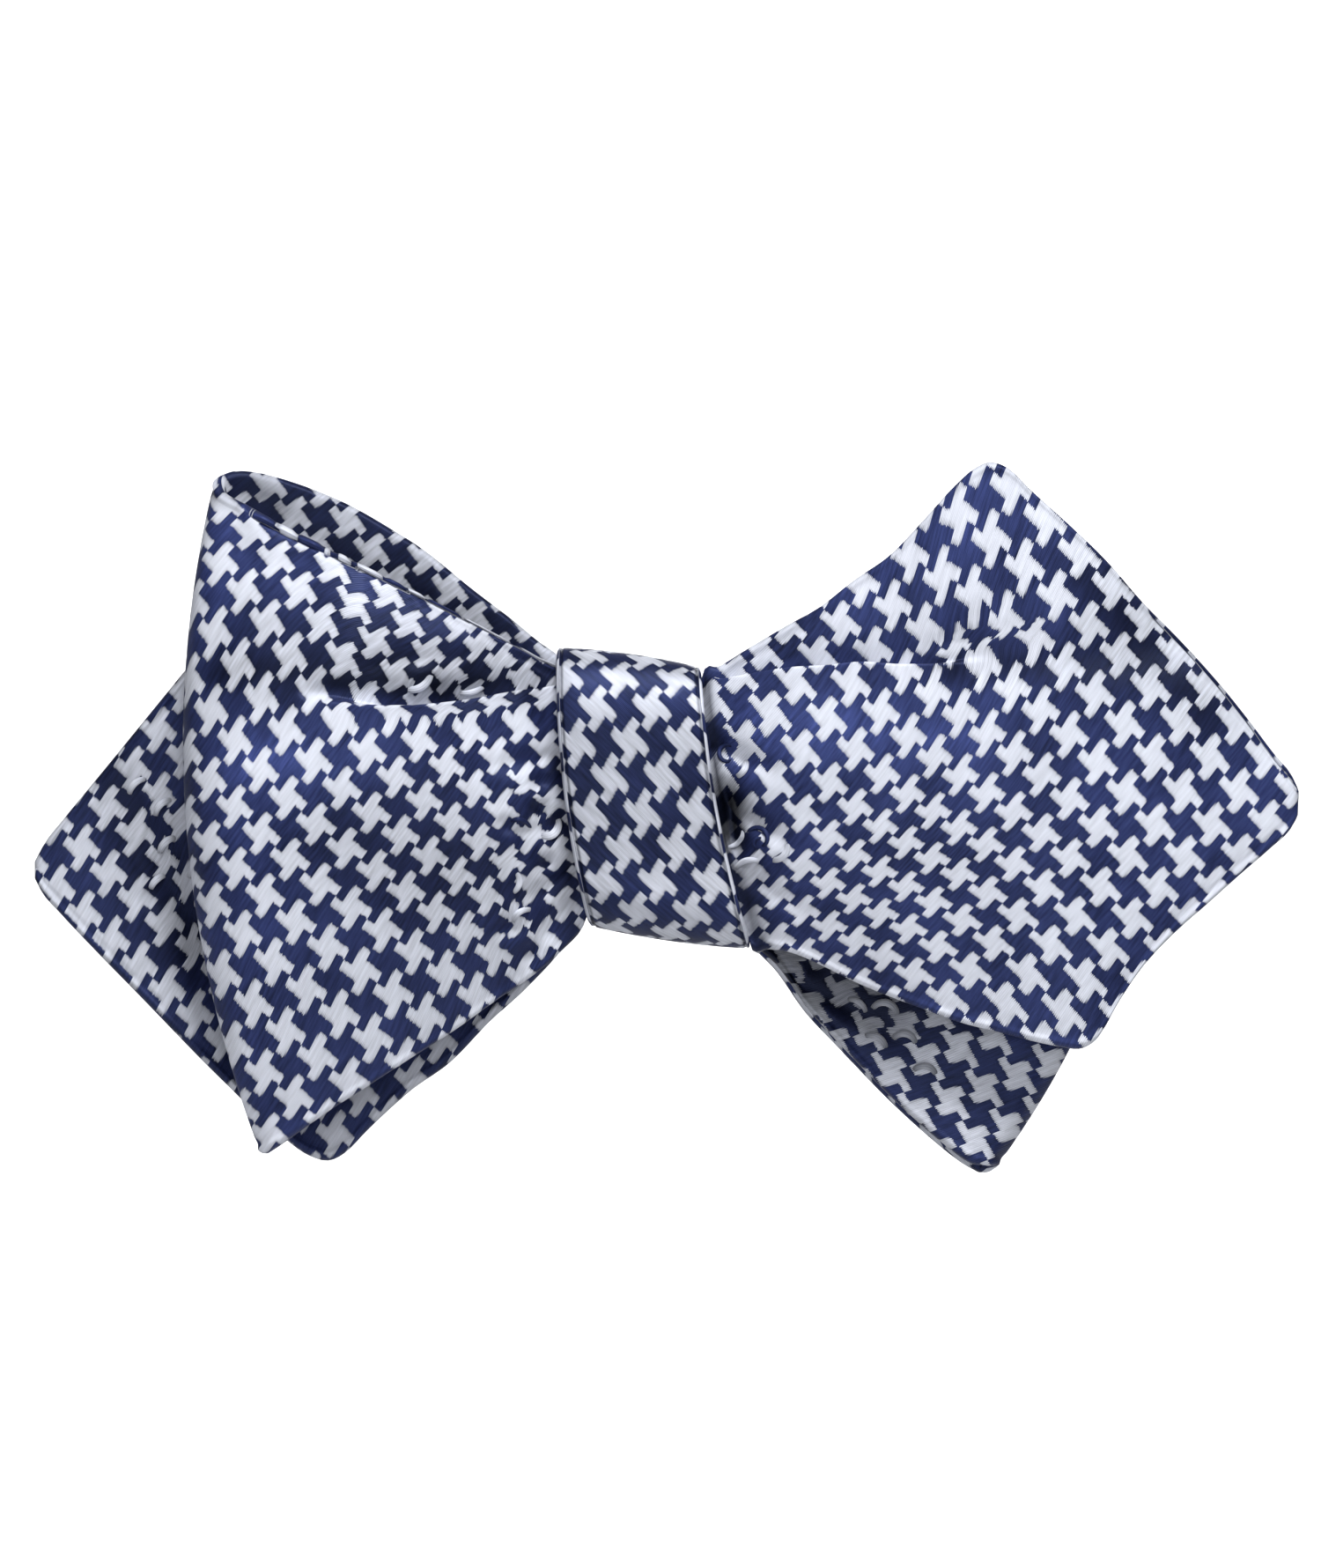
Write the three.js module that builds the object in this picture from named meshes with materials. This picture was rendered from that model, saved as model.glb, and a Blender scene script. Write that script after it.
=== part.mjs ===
// A self-tie diamond point bow tie, tied, with its neckband. Millimetres, +Z up.
// The origin is the middle of the neck. The bow is at the front, at -Y, and +X is the viewer's right.
// The real tie is one long strip, sewn double. Here it is four stretches of that strip:
// the front bow, the rear bow behind it, the wrap of the knot, and the band round the neck.
import * as THREE from 'three';

// The cloth: silk sewn double over an interlining
const clothWall = 1.4;
const knotWall = 1.6;
const bandWall = 1.8;
const layerGap = 0.3;

// The neck, as an oval, and the band round it
const neckHalfWidth = 52;
const neckHalfDepth = 65;
const bandHeight = 18;
const bandRoll = 3;

// The pinched waists under the knot, and the wrap round them
const waistHeight = 21.8;
const knotMiddle = -0.95;
const knotTopWidth = 14;
const knotBottomWidth = 16;
const knotBackWidth = 10;
const knotFall = 8;
const knotLean = 17;
const knotCorner = 3.2;
const knotBackCorner = 0.8;
const knotCrown = 0.7;

// The front bow: a folded loop on the left and a diamond blade on the right
const frontLoopReach = 42.1;
const frontLoopRise = 30.9;
const frontLoopDrop = 33.7;
const frontLoopBow = 4.9;
const frontLoopPuff = 5;
const frontBladeReach = 61.3;
const frontBladeRise = 31.8;
const frontBladeDrop = 23.6;
const frontBladePuff = 3;
const pleatDepth = 2.2;

// The rear bow: a diamond blade on the left and a folded loop on the right
const rearBladeReach = 60.4;
const rearBladeRise = 22.2;
const rearBladeDrop = 34.5;
const rearBladePuff = 3;
const rearLoopReach = 41.7;
const rearLoopRise = 18;
const rearLoopDrop = 35.5;
const rearLoopBow = 9.5;
const rearLoopPuff = 3;

// How finely the solids are faceted
const acrossCells = 15;
const stationStep = 4.2;
const foldStep = 1.3;
const knotSides = 44;
const knotCells = 5;
const bandSides = 88;

const silk = { color: 0x8f97b8, roughness: 0.45, metalness: 0 };

// The layers at the knot, counted from the band outwards, and the faces of the knot's tunnel
const bandFront = -(neckHalfDepth + bandWall);
const layerDepth = (count) => bandFront - count * layerGap - (count - 0.5) * clothWall;
const rearLoopBackLayer = layerDepth(1);
const rearMainLayer = layerDepth(2);
const frontLoopBackLayer = layerDepth(3);
const frontMainLayer = layerDepth(4);
const tunnelFront = frontMainLayer - clothWall / 2 - pleatDepth - layerGap;

const radians = (degrees) => THREE.MathUtils.degToRad(degrees);
const bandReachAtKnot = bandHeight / 2 + Math.tan(radians(bandRoll + knotFall)) * knotBottomWidth / 2;
const tunnelHalfHeight = Math.max(waistHeight / 2, bandReachAtKnot) + layerGap;
const knotHalfHeight = tunnelHalfHeight + knotWall;

// The wrap crosses behind the band where the oval of the neck has already turned back a little
const backReach = Math.abs(knotMiddle) + knotBackWidth / 2 + Math.tan(radians(knotLean)) * knotHalfHeight;
const tunnelBack = layerGap - neckHalfDepth * Math.sqrt(1 - (backReach / neckHalfWidth) ** 2);

// A place on the knot: along its tunnel from the middle of the wrap, and up across it.
// The tunnel falls to the right, and the wrap leans over it to the left.
function knotPlace(along, up) {
  const slid = along - Math.tan(radians(knotLean)) * up;
  const fall = radians(knotFall);
  return {
    x: knotMiddle + slid * Math.cos(fall) + up * Math.sin(fall),
    z: -slid * Math.sin(fall) + up * Math.cos(fall),
  };
}

// Half the wrap's width at a height on it, from 0 at its front to 1 at its back
function knotHalfWidth(up, backward) {
  const mix = THREE.MathUtils.lerp;
  const share = THREE.MathUtils.clamp((knotHalfHeight - up) / (2 * knotHalfHeight), 0, 1);
  return mix(mix(knotTopWidth, knotBottomWidth, share), knotBackWidth, backward) / 2;
}

// The upper or lower edge of a waist where it leaves the knot. Side is 1 on the right, -1 on the left.
function waistEdge(side, end) {
  const up = end * waistHeight / 2;
  return knotPlace(side * knotHalfWidth(up, 0), up);
}

// A row of cloth at the knot's edge, on one side of it
function waistRow(side, layer, crease, pleat) {
  const top = waistEdge(side, 1);
  const bottom = waistEdge(side, -1);
  return { top, bottom, topDepth: layer, bottomDepth: layer, bow: 0, puff: 0, crease, pleat };
}

// A row of cloth on a wing. Its edges are shares of the way from the knot to the wing's reach,
// rise and drop. Forward is towards the viewer, as a share of the wing's puff.
function wingRow(wing, row) {
  const top = waistEdge(wing.side, 1);
  const bottom = waistEdge(wing.side, -1);
  const tip = wing.side * wing.reach;
  const mix = THREE.MathUtils.lerp;
  return {
    top: { x: mix(top.x, tip, row.topOut), z: mix(top.z, wing.rise, row.topRise) },
    bottom: { x: mix(bottom.x, tip, row.bottomOut), z: mix(bottom.z, -wing.drop, row.bottomDrop) },
    topDepth: wing.layer - row.topForward * wing.puff,
    bottomDepth: wing.layer - row.bottomForward * wing.puff,
    bow: wing.side * row.bow * wing.bow,
    puff: row.swell * wing.puff,
    crease: row.crease,
    pleat: row.pleat * pleatDepth,
  };
}

// A short table of rows, given as named columns over lines of numbers
function table(columns, lines) {
  return lines.map((line) => Object.fromEntries(columns.map((column, i) => [column, line[i]])));
}

const wingColumns = [
  'topOut', 'topRise', 'bottomOut', 'bottomDrop',
  'topForward', 'bottomForward', 'swell', 'bow', 'crease', 'pleat',
];

// The left loop's front layer, from the knot out to the fold
const frontLoopFront = table(wingColumns, [
  [0.03, 0.05, 0.02, 0.10, 0.05, 0.00, 0.10, 0.00, 0.12, 1.00],
  [0.13, 0.18, 0.15, 0.27, 0.25, 0.10, 0.45, 0.00, 0.16, 1.00],
  [0.38, 0.40, 0.35, 0.49, 0.60, 0.20, 0.90, 0.10, 0.24, 0.80],
  [0.66, 0.62, 0.60, 0.73, 0.65, 0.25, 1.05, 0.45, 0.27, 0.30],
  [0.89, 0.82, 0.77, 0.92, 0.40, 0.15, 0.80, 0.85, 0.28, 0.00],
]);

// The same loop's fold, where its two layers meet
const frontLoopFold = table(wingColumns, [
  [1.00, 0.95, 0.86, 1.00, -0.12, -0.12, 0.00, 1.00, 0.28, 0.00],
]);

// The same loop's back layer, from the fold in to the knot. It stands higher than the front layer.
const frontLoopBack = table(wingColumns, [
  [0.89, 1.00, 0.77, 0.89, 0.00, 0.00, -0.25, 0.85, 0.28, 0.00],
  [0.64, 0.86, 0.60, 0.68, -0.15, -0.05, -0.25, 0.45, 0.28, 0.00],
  [0.38, 0.60, 0.35, 0.44, -0.15, 0.00, -0.15, 0.10, 0.28, 0.00],
  [0.13, 0.26, 0.15, 0.22, -0.05, 0.00, 0.00, 0.00, 0.28, 0.00],
]);

// The right blade, from the knot out past its shoulders to the diamond's point
const frontBlade = table(wingColumns, [
  [0.03, 0.14, 0.03, 0.18, 0.05, 0.00, 0.10, 0.00, 0.08, 1.00],
  [0.14, 0.28, 0.11, 0.29, 0.20, 0.10, 0.50, 0.00, 0.15, 1.00],
  [0.31, 0.58, 0.31, 0.69, 0.50, 0.35, 0.85, 0.00, 0.25, 0.75],
  [0.42, 0.89, 0.48, 0.92, 0.75, 0.55, 0.95, 0.00, 0.32, 0.35],
  [0.48, 1.00, 0.60, 1.00, 0.80, 0.70, 0.90, 0.00, 0.34, 0.05],
  [0.60, 0.76, 0.67, 0.66, 0.70, 0.70, 0.75, 0.00, 0.33, 0.00],
  [0.73, 0.39, 0.75, 0.15, 0.50, 0.50, 0.55, 0.00, 0.32, 0.00],
  [0.86, 0.06, 0.84, -0.22, 0.20, 0.20, 0.35, 0.00, 0.32, 0.00],
  [0.96, -0.29, 0.94, -0.62, -0.10, -0.10, 0.10, 0.00, 0.32, 0.00],
  [0.99, -0.40, 0.99, -0.88, -0.20, -0.20, 0.00, 0.00, 0.32, 0.00],
]);

// The left blade behind the loop, from the knot out to its point. It curves back to clear the loop.
const rearBlade = table(wingColumns, [
  [0.05, 0.14, 0.05, 0.18, -0.05, -0.05, -0.05, 0.00, 0.30, 0.00],
  [0.17, 0.39, 0.18, 0.46, -0.45, -0.45, -0.30, 0.00, 0.30, 0.00],
  [0.33, 0.68, 0.33, 0.74, -0.80, -0.70, -0.50, 0.00, 0.30, 0.00],
  [0.45, 0.95, 0.43, 0.96, -0.90, -0.80, -0.60, 0.00, 0.30, 0.00],
  [0.52, 1.00, 0.48, 1.00, -0.90, -0.80, -0.60, 0.00, 0.30, 0.00],
  [0.59, 0.76, 0.55, 0.93, -0.85, -0.75, -0.50, 0.00, 0.30, 0.00],
  [0.69, 0.22, 0.68, 0.67, -0.60, -0.50, -0.20, 0.00, 0.30, 0.00],
  [0.78, -0.42, 0.80, 0.35, -0.30, -0.20, 0.10, 0.00, 0.30, 0.00],
  [0.90, -1.10, 0.92, 0.08, -0.20, -0.10, 0.15, 0.00, 0.30, 0.00],
  [0.99, -1.62, 0.99, -0.12, -0.20, -0.20, 0.00, 0.00, 0.30, 0.00],
]);

// The right loop behind the blade: front layer, fold, and back layer
const rearLoopFront = table(wingColumns, [
  [0.11, 0.15, 0.10, 0.20, -0.05, -0.05, 0.00, 0.00, 0.30, 0.00],
  [0.33, 0.35, 0.28, 0.49, -0.05, -0.05, 0.10, 0.05, 0.30, 0.00],
  [0.58, 0.58, 0.47, 0.76, -0.05, 0.05, 0.20, 0.30, 0.30, 0.00],
  [0.83, 0.83, 0.62, 0.96, -0.10, 0.05, 0.20, 0.75, 0.30, 0.00],
]);
const rearLoopFold = table(wingColumns, [
  [1.00, 1.00, 0.68, 1.00, 0.25, 0.25, 0.00, 1.00, 0.30, 0.00],
]);
const rearLoopBack = table(wingColumns, [
  [0.83, 0.80, 0.62, 0.98, -0.30, -0.20, -0.55, 0.75, 0.30, 0.00],
  [0.58, 0.52, 0.47, 0.78, -0.35, -0.25, -0.50, 0.30, 0.30, 0.00],
  [0.33, 0.28, 0.28, 0.51, -0.15, -0.15, -0.15, 0.05, 0.30, 0.00],
  [0.11, 0.10, 0.10, 0.20, 0.00, 0.00, 0.00, 0.00, 0.30, 0.00],
]);

const frontLoop = {
  side: -1, reach: frontLoopReach, rise: frontLoopRise, drop: frontLoopDrop,
  puff: frontLoopPuff, bow: frontLoopBow,
};
const rightBlade = {
  side: 1, reach: frontBladeReach, rise: frontBladeRise, drop: frontBladeDrop,
  puff: frontBladePuff, bow: 0,
};
const leftBlade = {
  side: -1, reach: rearBladeReach, rise: rearBladeRise, drop: rearBladeDrop,
  puff: rearBladePuff, bow: 0,
};
const rearLoop = {
  side: 1, reach: rearLoopReach, rise: rearLoopRise, drop: rearLoopDrop,
  puff: rearLoopPuff, bow: rearLoopBow,
};

// All rows of one wing's stretch, laid in one layer of the knot
function wingRows(wing, layer, rows) {
  return rows.map((row) => wingRow({ ...wing, layer }, row));
}

// One number list for a row, in the order that rowValues names, so that rows can be smoothed
function rowNumbers(row) {
  return [
    row.top.x, row.top.z, row.bottom.x, row.bottom.z,
    row.topDepth, row.bottomDepth, row.bow, row.puff, row.crease, row.pleat,
  ];
}

// Where the crease falls among the cells across the strip
const creaseCell = Math.round(acrossCells * 0.3);

// A point in the middle of the cloth: station numbers, and the count of cells across from the top edge
function clothPoint(numbers, cell, pleated) {
  const [topX, topZ, bottomX, bottomZ, topDepth, bottomDepth, bow, puff, crease, pleat] = numbers;
  const below = cell - creaseCell;
  const v = below <= 0
    ? crease * cell / creaseCell
    : crease + (1 - crease) * below / (acrossCells - creaseCell);
  const arch = 4 * v * (1 - v);
  const lip = below > 0 ? 1 - (below - 1) / (acrossCells - creaseCell - 1) : 0;
  const mix = THREE.MathUtils.lerp;
  return new THREE.Vector3(
    mix(topX, bottomX, v) + bow * arch,
    mix(topDepth, bottomDepth, v) - puff * arch - (pleated ? pleat * lip : 0),
    mix(topZ, bottomZ, v),
  );
}

// The distance along the strip at which each row lies, measured at a quarter, half and three quarters
function rowDistances(rows) {
  const marks = [0.25, 0.5, 0.75].map((share) => Math.round(share * acrossCells));
  const distances = [0];
  for (let i = 1; i < rows.length; i += 1) {
    const steps = marks.map((cell) => clothPoint(rows[i], cell, false)
      .distanceTo(clothPoint(rows[i - 1], cell, false)));
    distances.push(distances[i - 1] + Math.max(...steps));
  }
  return distances;
}

// Stations along the strip: smooth between the rows, closer together round a fold
function stations(rows, foldRow) {
  const numbers = rows.map(rowNumbers);
  const distances = rowDistances(numbers);
  const curve = new THREE.CubicInterpolant(distances, numbers.flat(), numbers[0].length);
  const found = [];
  for (let i = 1; i < rows.length; i += 1) {
    const step = i === foldRow || i === foldRow + 1 ? foldStep : stationStep;
    const span = distances[i] - distances[i - 1];
    const count = Math.max(1, Math.round(span / step));
    for (let k = 0; k < count; k += 1) {
      found.push([...curve.evaluate(distances[i - 1] + span * k / count)]);
    }
  }
  found.push([...curve.evaluate(distances.at(-1))]);
  return found;
}

// A closed mesh from two grids of points, one on each face of a wall. A ring closes on itself.
function wallMesh(front, back, ring) {
  const rows = front.length;
  const columns = front[0].length;
  const positions = [...front.flat(), ...back.flat()].flatMap((p) => [p.x, p.y, p.z]);
  const at = (face, i, j) => face * rows * columns + (i % rows) * columns + j;
  const faces = [];
  const quad = (a, b, c, d) => faces.push(a, b, c, a, c, d);
  const lastRow = ring ? rows : rows - 1;
  for (let i = 0; i < lastRow; i += 1) {
    for (let j = 0; j < columns - 1; j += 1) {
      quad(at(0, i, j), at(0, i, j + 1), at(0, i + 1, j + 1), at(0, i + 1, j));
      quad(at(1, i, j), at(1, i + 1, j), at(1, i + 1, j + 1), at(1, i, j + 1));
    }
    quad(at(0, i, 0), at(0, i + 1, 0), at(1, i + 1, 0), at(1, i, 0));
    const end = columns - 1;
    quad(at(0, i, end), at(1, i, end), at(1, i + 1, end), at(0, i + 1, end));
  }
  for (let j = 0; j < columns - 1 && !ring; j += 1) {
    const end = rows - 1;
    quad(at(0, 0, j), at(1, 0, j), at(1, 0, j + 1), at(0, 0, j + 1));
    quad(at(0, end, j), at(0, end, j + 1), at(1, end, j + 1), at(1, end, j));
  }
  const geometry = new THREE.BufferGeometry();
  geometry.setAttribute('position', new THREE.Float32BufferAttribute(positions, 3));
  geometry.setIndex(signedVolume(positions, faces) < 0 ? faces.reverse() : faces);
  geometry.computeVertexNormals();
  return geometry;
}

function signedVolume(positions, faces) {
  const corner = (i) => new THREE.Vector3().fromArray(positions, 3 * i);
  let sum = 0;
  for (let i = 0; i < faces.length; i += 3) {
    sum += corner(faces[i]).dot(corner(faces[i + 1]).cross(corner(faces[i + 2]))) / 6;
  }
  return sum;
}

// The cloth solid through a strip's stations. The wall stands on the strip without its pleat,
// so that the pleat's step keeps both of its faces.
function clothSolid(rows, foldRow) {
  const strip = stations(rows, foldRow);
  const plain = strip.map((numbers) => rowOfPoints(numbers, false));
  const creased = strip.map((numbers) => rowOfPoints(numbers, true));
  const faceAt = (side) => creased.map((row, i) => row.map((point, j) => point.clone()
    .addScaledVector(gridNormal(plain, i, j), side * clothWall / 2)));
  return wallMesh(faceAt(1), faceAt(-1), false);
}

function rowOfPoints(numbers, pleated) {
  return Array.from({ length: acrossCells + 1 }, (_, cell) => clothPoint(numbers, cell, pleated));
}

function gridNormal(grid, i, j) {
  const last = grid.length - 1;
  const end = grid[0].length - 1;
  const along = grid[Math.min(i + 1, last)][j].clone().sub(grid[Math.max(i - 1, 0)][j]);
  const across = grid[i][Math.min(j + 1, end)].clone().sub(grid[i][Math.max(j - 1, 0)]);
  return along.cross(across).normalize();
}

// The front bow, from its back layer under the knot, round the left fold, and out to the right point
function frontBow() {
  const backRows = [
    waistRow(1, frontLoopBackLayer, 0.28, 0),
    waistRow(-1, frontLoopBackLayer, 0.28, 0),
  ];
  const out = wingRows(frontLoop, frontLoopBackLayer, [...frontLoopBack].reverse());
  const fold = wingRows(frontLoop, frontLoopBackLayer, frontLoopFold);
  const home = wingRows(frontLoop, frontMainLayer, [...frontLoopFront].reverse());
  const waist = [waistRow(-1, frontMainLayer, 0.1, pleatDepth), waistRow(1, frontMainLayer, 0.06, pleatDepth)];
  const blade = wingRows(rightBlade, frontMainLayer, frontBlade);
  const rows = [...backRows, ...out, ...fold, ...home, ...waist, ...blade];
  return clothSolid(rows, backRows.length + out.length);
}

// The rear bow, from its back layer under the knot, round the right fold, and out to the left point
function rearBow() {
  const backRows = [
    waistRow(-1, rearLoopBackLayer, 0.3, 0),
    waistRow(1, rearLoopBackLayer, 0.3, 0),
  ];
  const out = wingRows(rearLoop, rearLoopBackLayer, [...rearLoopBack].reverse());
  const fold = wingRows(rearLoop, rearLoopBackLayer, rearLoopFold);
  const home = wingRows(rearLoop, rearMainLayer, [...rearLoopFront].reverse());
  const waist = [waistRow(1, rearMainLayer, 0.3, 0), waistRow(-1, rearMainLayer, 0.3, 0)];
  const blade = wingRows(leftBlade, rearMainLayer, rearBlade);
  const rows = [...backRows, ...out, ...fold, ...home, ...waist, ...blade];
  return clothSolid(rows, backRows.length + out.length);
}

// Points round the wrap's section: a rectangle with round corners in front and small ones at its back.
// Its x runs from front to back, and a margin makes it larger all round.
function wrapSection(margin) {
  const depth = (tunnelBack - tunnelFront) / 2 + margin;
  const height = tunnelHalfHeight + margin;
  const front = knotCorner + margin;
  const back = knotBackCorner + margin;
  const shape = new THREE.Shape();
  shape.moveTo(depth, 0);
  shape.absarc(depth - back, height - back, back, 0, Math.PI / 2);
  shape.absarc(front - depth, height - front, front, Math.PI / 2, Math.PI);
  shape.absarc(front - depth, front - height, front, Math.PI, 1.5 * Math.PI);
  shape.absarc(depth - back, back - height, back, 1.5 * Math.PI, 2 * Math.PI);
  shape.lineTo(depth, 0);
  return shape.getSpacedPoints(knotSides).slice(0, knotSides);
}

// The wrap of the knot: a ring round the tunnel, crowned a little between its two edges
function knotWrap() {
  const middle = (tunnelFront + tunnelBack) / 2;
  const inner = wrapSection(0);
  const outer = wrapSection(knotWall);
  const face = (ring, crown) => ring.map((point, i) => {
    const swell = outer[i].clone().sub(inner[i]).normalize().multiplyScalar(crown);
    const backward = THREE.MathUtils.clamp(0.5 + point.x / (tunnelBack - tunnelFront), 0, 1);
    return Array.from({ length: knotCells + 1 }, (_, cell) => {
      const across = 2 * cell / knotCells - 1;
      const rise = 1 - across * across;
      const place = knotPlace(across * knotHalfWidth(point.y, backward), point.y + swell.y * rise);
      return new THREE.Vector3(place.x, middle + point.x + swell.x * rise, place.z);
    });
  });
  return wallMesh(face(outer, knotCrown), face(inner, 0), true);
}

// The band round the neck: an oval ring, rolled a little so that it dips on the left
function neckBand() {
  const roll = radians(bandRoll);
  const face = (wall) => Array.from({ length: bandSides }, (_, i) => {
    const turn = 2 * Math.PI * i / bandSides;
    const x = (neckHalfWidth + wall) * Math.cos(turn);
    const y = (neckHalfDepth + wall) * Math.sin(turn);
    return [bandHeight / 2, -bandHeight / 2].map((z) => new THREE.Vector3(
      x * Math.cos(roll) - z * Math.sin(roll), y, x * Math.sin(roll) + z * Math.cos(roll),
    ));
  });
  return wallMesh(face(bandWall), face(0), true);
}

function piece(name, geometry) {
  const mesh = new THREE.Mesh(geometry, new THREE.MeshStandardMaterial(silk));
  mesh.name = name;
  return mesh;
}

const bowTie = new THREE.Group();
bowTie.add(
  piece('front_bow', frontBow()),
  piece('rear_bow', rearBow()),
  piece('knot_wrap', knotWrap()),
  piece('neckband', neckBand()),
);

export default bowTie;
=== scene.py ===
# %% [markdown]
# A diamond point bow tie, tied, in houndstooth silk.
# A self-tie bow tie is one long strip of silk, sewn double round an interlining. Tied, it shows a folded
# loop and a pointed blade on each side, and a wrap of the same strip in the middle. This lesson builds it
# as four stretches of cloth. Each is a surface with a real thickness, a seam along its edges and folds,
# and each carries the weave in a UV map, so that the pattern turns with the cloth as it was folded.

# %% Load the frame
import math

import bmesh
import bpy
import numpy as np
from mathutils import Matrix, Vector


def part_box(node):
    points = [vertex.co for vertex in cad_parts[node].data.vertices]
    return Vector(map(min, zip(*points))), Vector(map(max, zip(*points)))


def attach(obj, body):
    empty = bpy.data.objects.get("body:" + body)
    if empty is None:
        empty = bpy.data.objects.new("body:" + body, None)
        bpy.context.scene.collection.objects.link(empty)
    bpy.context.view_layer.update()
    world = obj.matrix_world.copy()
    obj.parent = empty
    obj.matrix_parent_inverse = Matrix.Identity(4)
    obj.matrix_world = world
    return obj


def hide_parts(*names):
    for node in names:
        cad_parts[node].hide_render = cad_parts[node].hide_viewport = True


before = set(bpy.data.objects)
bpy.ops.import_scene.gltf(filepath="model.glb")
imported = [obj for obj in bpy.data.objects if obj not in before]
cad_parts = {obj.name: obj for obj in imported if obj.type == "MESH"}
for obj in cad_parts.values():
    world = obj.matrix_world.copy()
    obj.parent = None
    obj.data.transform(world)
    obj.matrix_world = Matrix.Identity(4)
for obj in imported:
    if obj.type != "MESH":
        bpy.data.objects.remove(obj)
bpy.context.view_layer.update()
MM = 0.001
print("nodes in the frame:", sorted(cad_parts))

# %% [markdown]
# The camera.
# A product photo of something this small is taken from about 60 cm away with a long lens, which keeps
# both wings the same size. The camera looks straight back, level with the middle of the picture. All
# places on the bow are given in millimetres as they appear in the picture, at the depth of the knot's
# face, so a helper moves a point that lies deeper outwards until it appears at its place.

# %% Camera
DISTANCE = 620.0
PICTURE_HEIGHT = 148.8
PICTURE_MIDDLE = 1.25
SENSOR = 36.0
FACE_DEPTH = -78.8

camera_data = bpy.data.cameras.new("camera")
camera_data.sensor_fit = "VERTICAL"
camera_data.sensor_height = SENSOR
camera_data.lens = SENSOR * DISTANCE / PICTURE_HEIGHT
camera_data.clip_start = 0.05
camera = bpy.data.objects.new("camera", camera_data)
bpy.context.collection.objects.link(camera)
camera.location = (0, (FACE_DEPTH - DISTANCE) * MM, PICTURE_MIDDLE * MM)
camera.rotation_euler = (math.pi / 2, 0, 0)
bpy.context.scene.camera = camera
bpy.context.scene.view_settings.view_transform = "Standard"
print("lens, mm:", round(camera_data.lens, 1))


def seen_at(x, depth, z):
    """The x and z that a point at a depth needs to appear at x and z in the picture."""
    grow = (DISTANCE + depth - FACE_DEPTH) / DISTANCE
    return x * grow, PICTURE_MIDDLE + (z - PICTURE_MIDDLE) * grow


# %% [markdown]
# Strips.
# Every wing is a strip laid through rows. A row runs across the strip from its upper to its lower edge,
# and says where both lie, how far the cloth comes forward, how it swells between them, and where it is
# creased. Rows are joined by a smooth curve through all their numbers, which keeps the tables short:
# only corners and turns need a row.

# %% Rows and the smooth curve through them
# A row is: top x, top z, low x, low z, top depth, low depth, bow, swell, crease and lap. The columns across
# the strip are shared out by these marks: seam, upper part, crease, lower part, seam.
COLUMN_MARKS = (0, 0.08, 0.26, 0.42, 0.92, 1)
SEAM_REACH = 1.2
CREASE_REACH = 1.6


def curve_through(knots, values, at):
    """A smooth curve through rows of values, one row at each knot."""
    slopes = np.gradient(values, knots, axis=0)
    i = np.clip(np.searchsorted(knots, at, side="right") - 1, 0, len(knots) - 2)
    span = (knots[i + 1] - knots[i])[:, None]
    t = ((at - knots[i])[:, None]) / span
    return (
        (2 * t**3 - 3 * t**2 + 1) * values[i]
        + (t**3 - 2 * t**2 + t) * span * slopes[i]
        + (3 * t**2 - 2 * t**3) * values[i + 1]
        + (t**3 - t**2) * span * slopes[i + 1]
    )


def smooth_step(low, high, value):
    t = np.clip((value - low) / (high - low), 0, 1)
    return t * t * (3 - 2 * t)


def across_shares(crease, width, count):
    """Shares across the strip: close together at both seams and at the crease."""
    seam = SEAM_REACH / width
    near = min(CREASE_REACH / width, 0.45 * crease)
    places = (0, min(seam, (crease - near) * 0.5), crease - near, crease + near, 1 - seam, 1)
    return np.interp(np.linspace(0, 1, count), COLUMN_MARKS, places)


# %% Sample a strip into a grid of points in the middle of the cloth
ACROSS = 104
STEP = 0.55
FOLD_REACH = 5
FOLD_STEP = STEP * 0.4
LEAST_APART = 0.05


def strip_grid(rows, fold):
    """Stations through the rows, a step apart and closer round the fold, and the cloth's middle at each."""
    values = np.array(rows, float)
    middle = np.stack([
        (values[:, 0] + values[:, 2]) / 2 + values[:, 6],
        (values[:, 4] + values[:, 5]) / 2 - values[:, 7],
        (values[:, 1] + values[:, 3]) / 2,
    ], axis=1)
    knots = np.concatenate([[0], np.cumsum(np.linalg.norm(np.diff(middle, axis=0), axis=1) + LEAST_APART)])
    at = [0.0]
    while at[-1] < knots[-1]:
        at.append(at[-1] + (FOLD_STEP if abs(at[-1] - knots[fold]) < FOLD_REACH else STEP))
    at = np.array(at[:-1] + [knots[-1]])
    stations = curve_through(knots, values, at)
    grid = np.zeros((len(at), ACROSS, 3))
    shares = np.zeros((len(at), ACROSS))
    for i, (top_x, top_z, low_x, low_z, top_y, low_y, bow, swell, crease, _) in enumerate(stations):
        width = math.hypot(top_x - low_x, top_z - low_z)
        v = across_shares(crease, width, ACROSS)
        arch = 4 * v * (1 - v)
        grid[i, :, 0] = top_x + (low_x - top_x) * v + bow * arch
        grid[i, :, 1] = top_y + (low_y - top_y) * v - swell * arch
        grid[i, :, 2] = top_z + (low_z - top_z) * v
        shares[i] = v
    return grid, shares, stations


def normals_of(grid):
    along = np.gradient(grid, axis=0)
    across = np.gradient(grid, axis=1)
    cross = np.cross(along, across)
    return cross / np.maximum(np.linalg.norm(cross, axis=2, keepdims=True), 1e-9)


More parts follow.
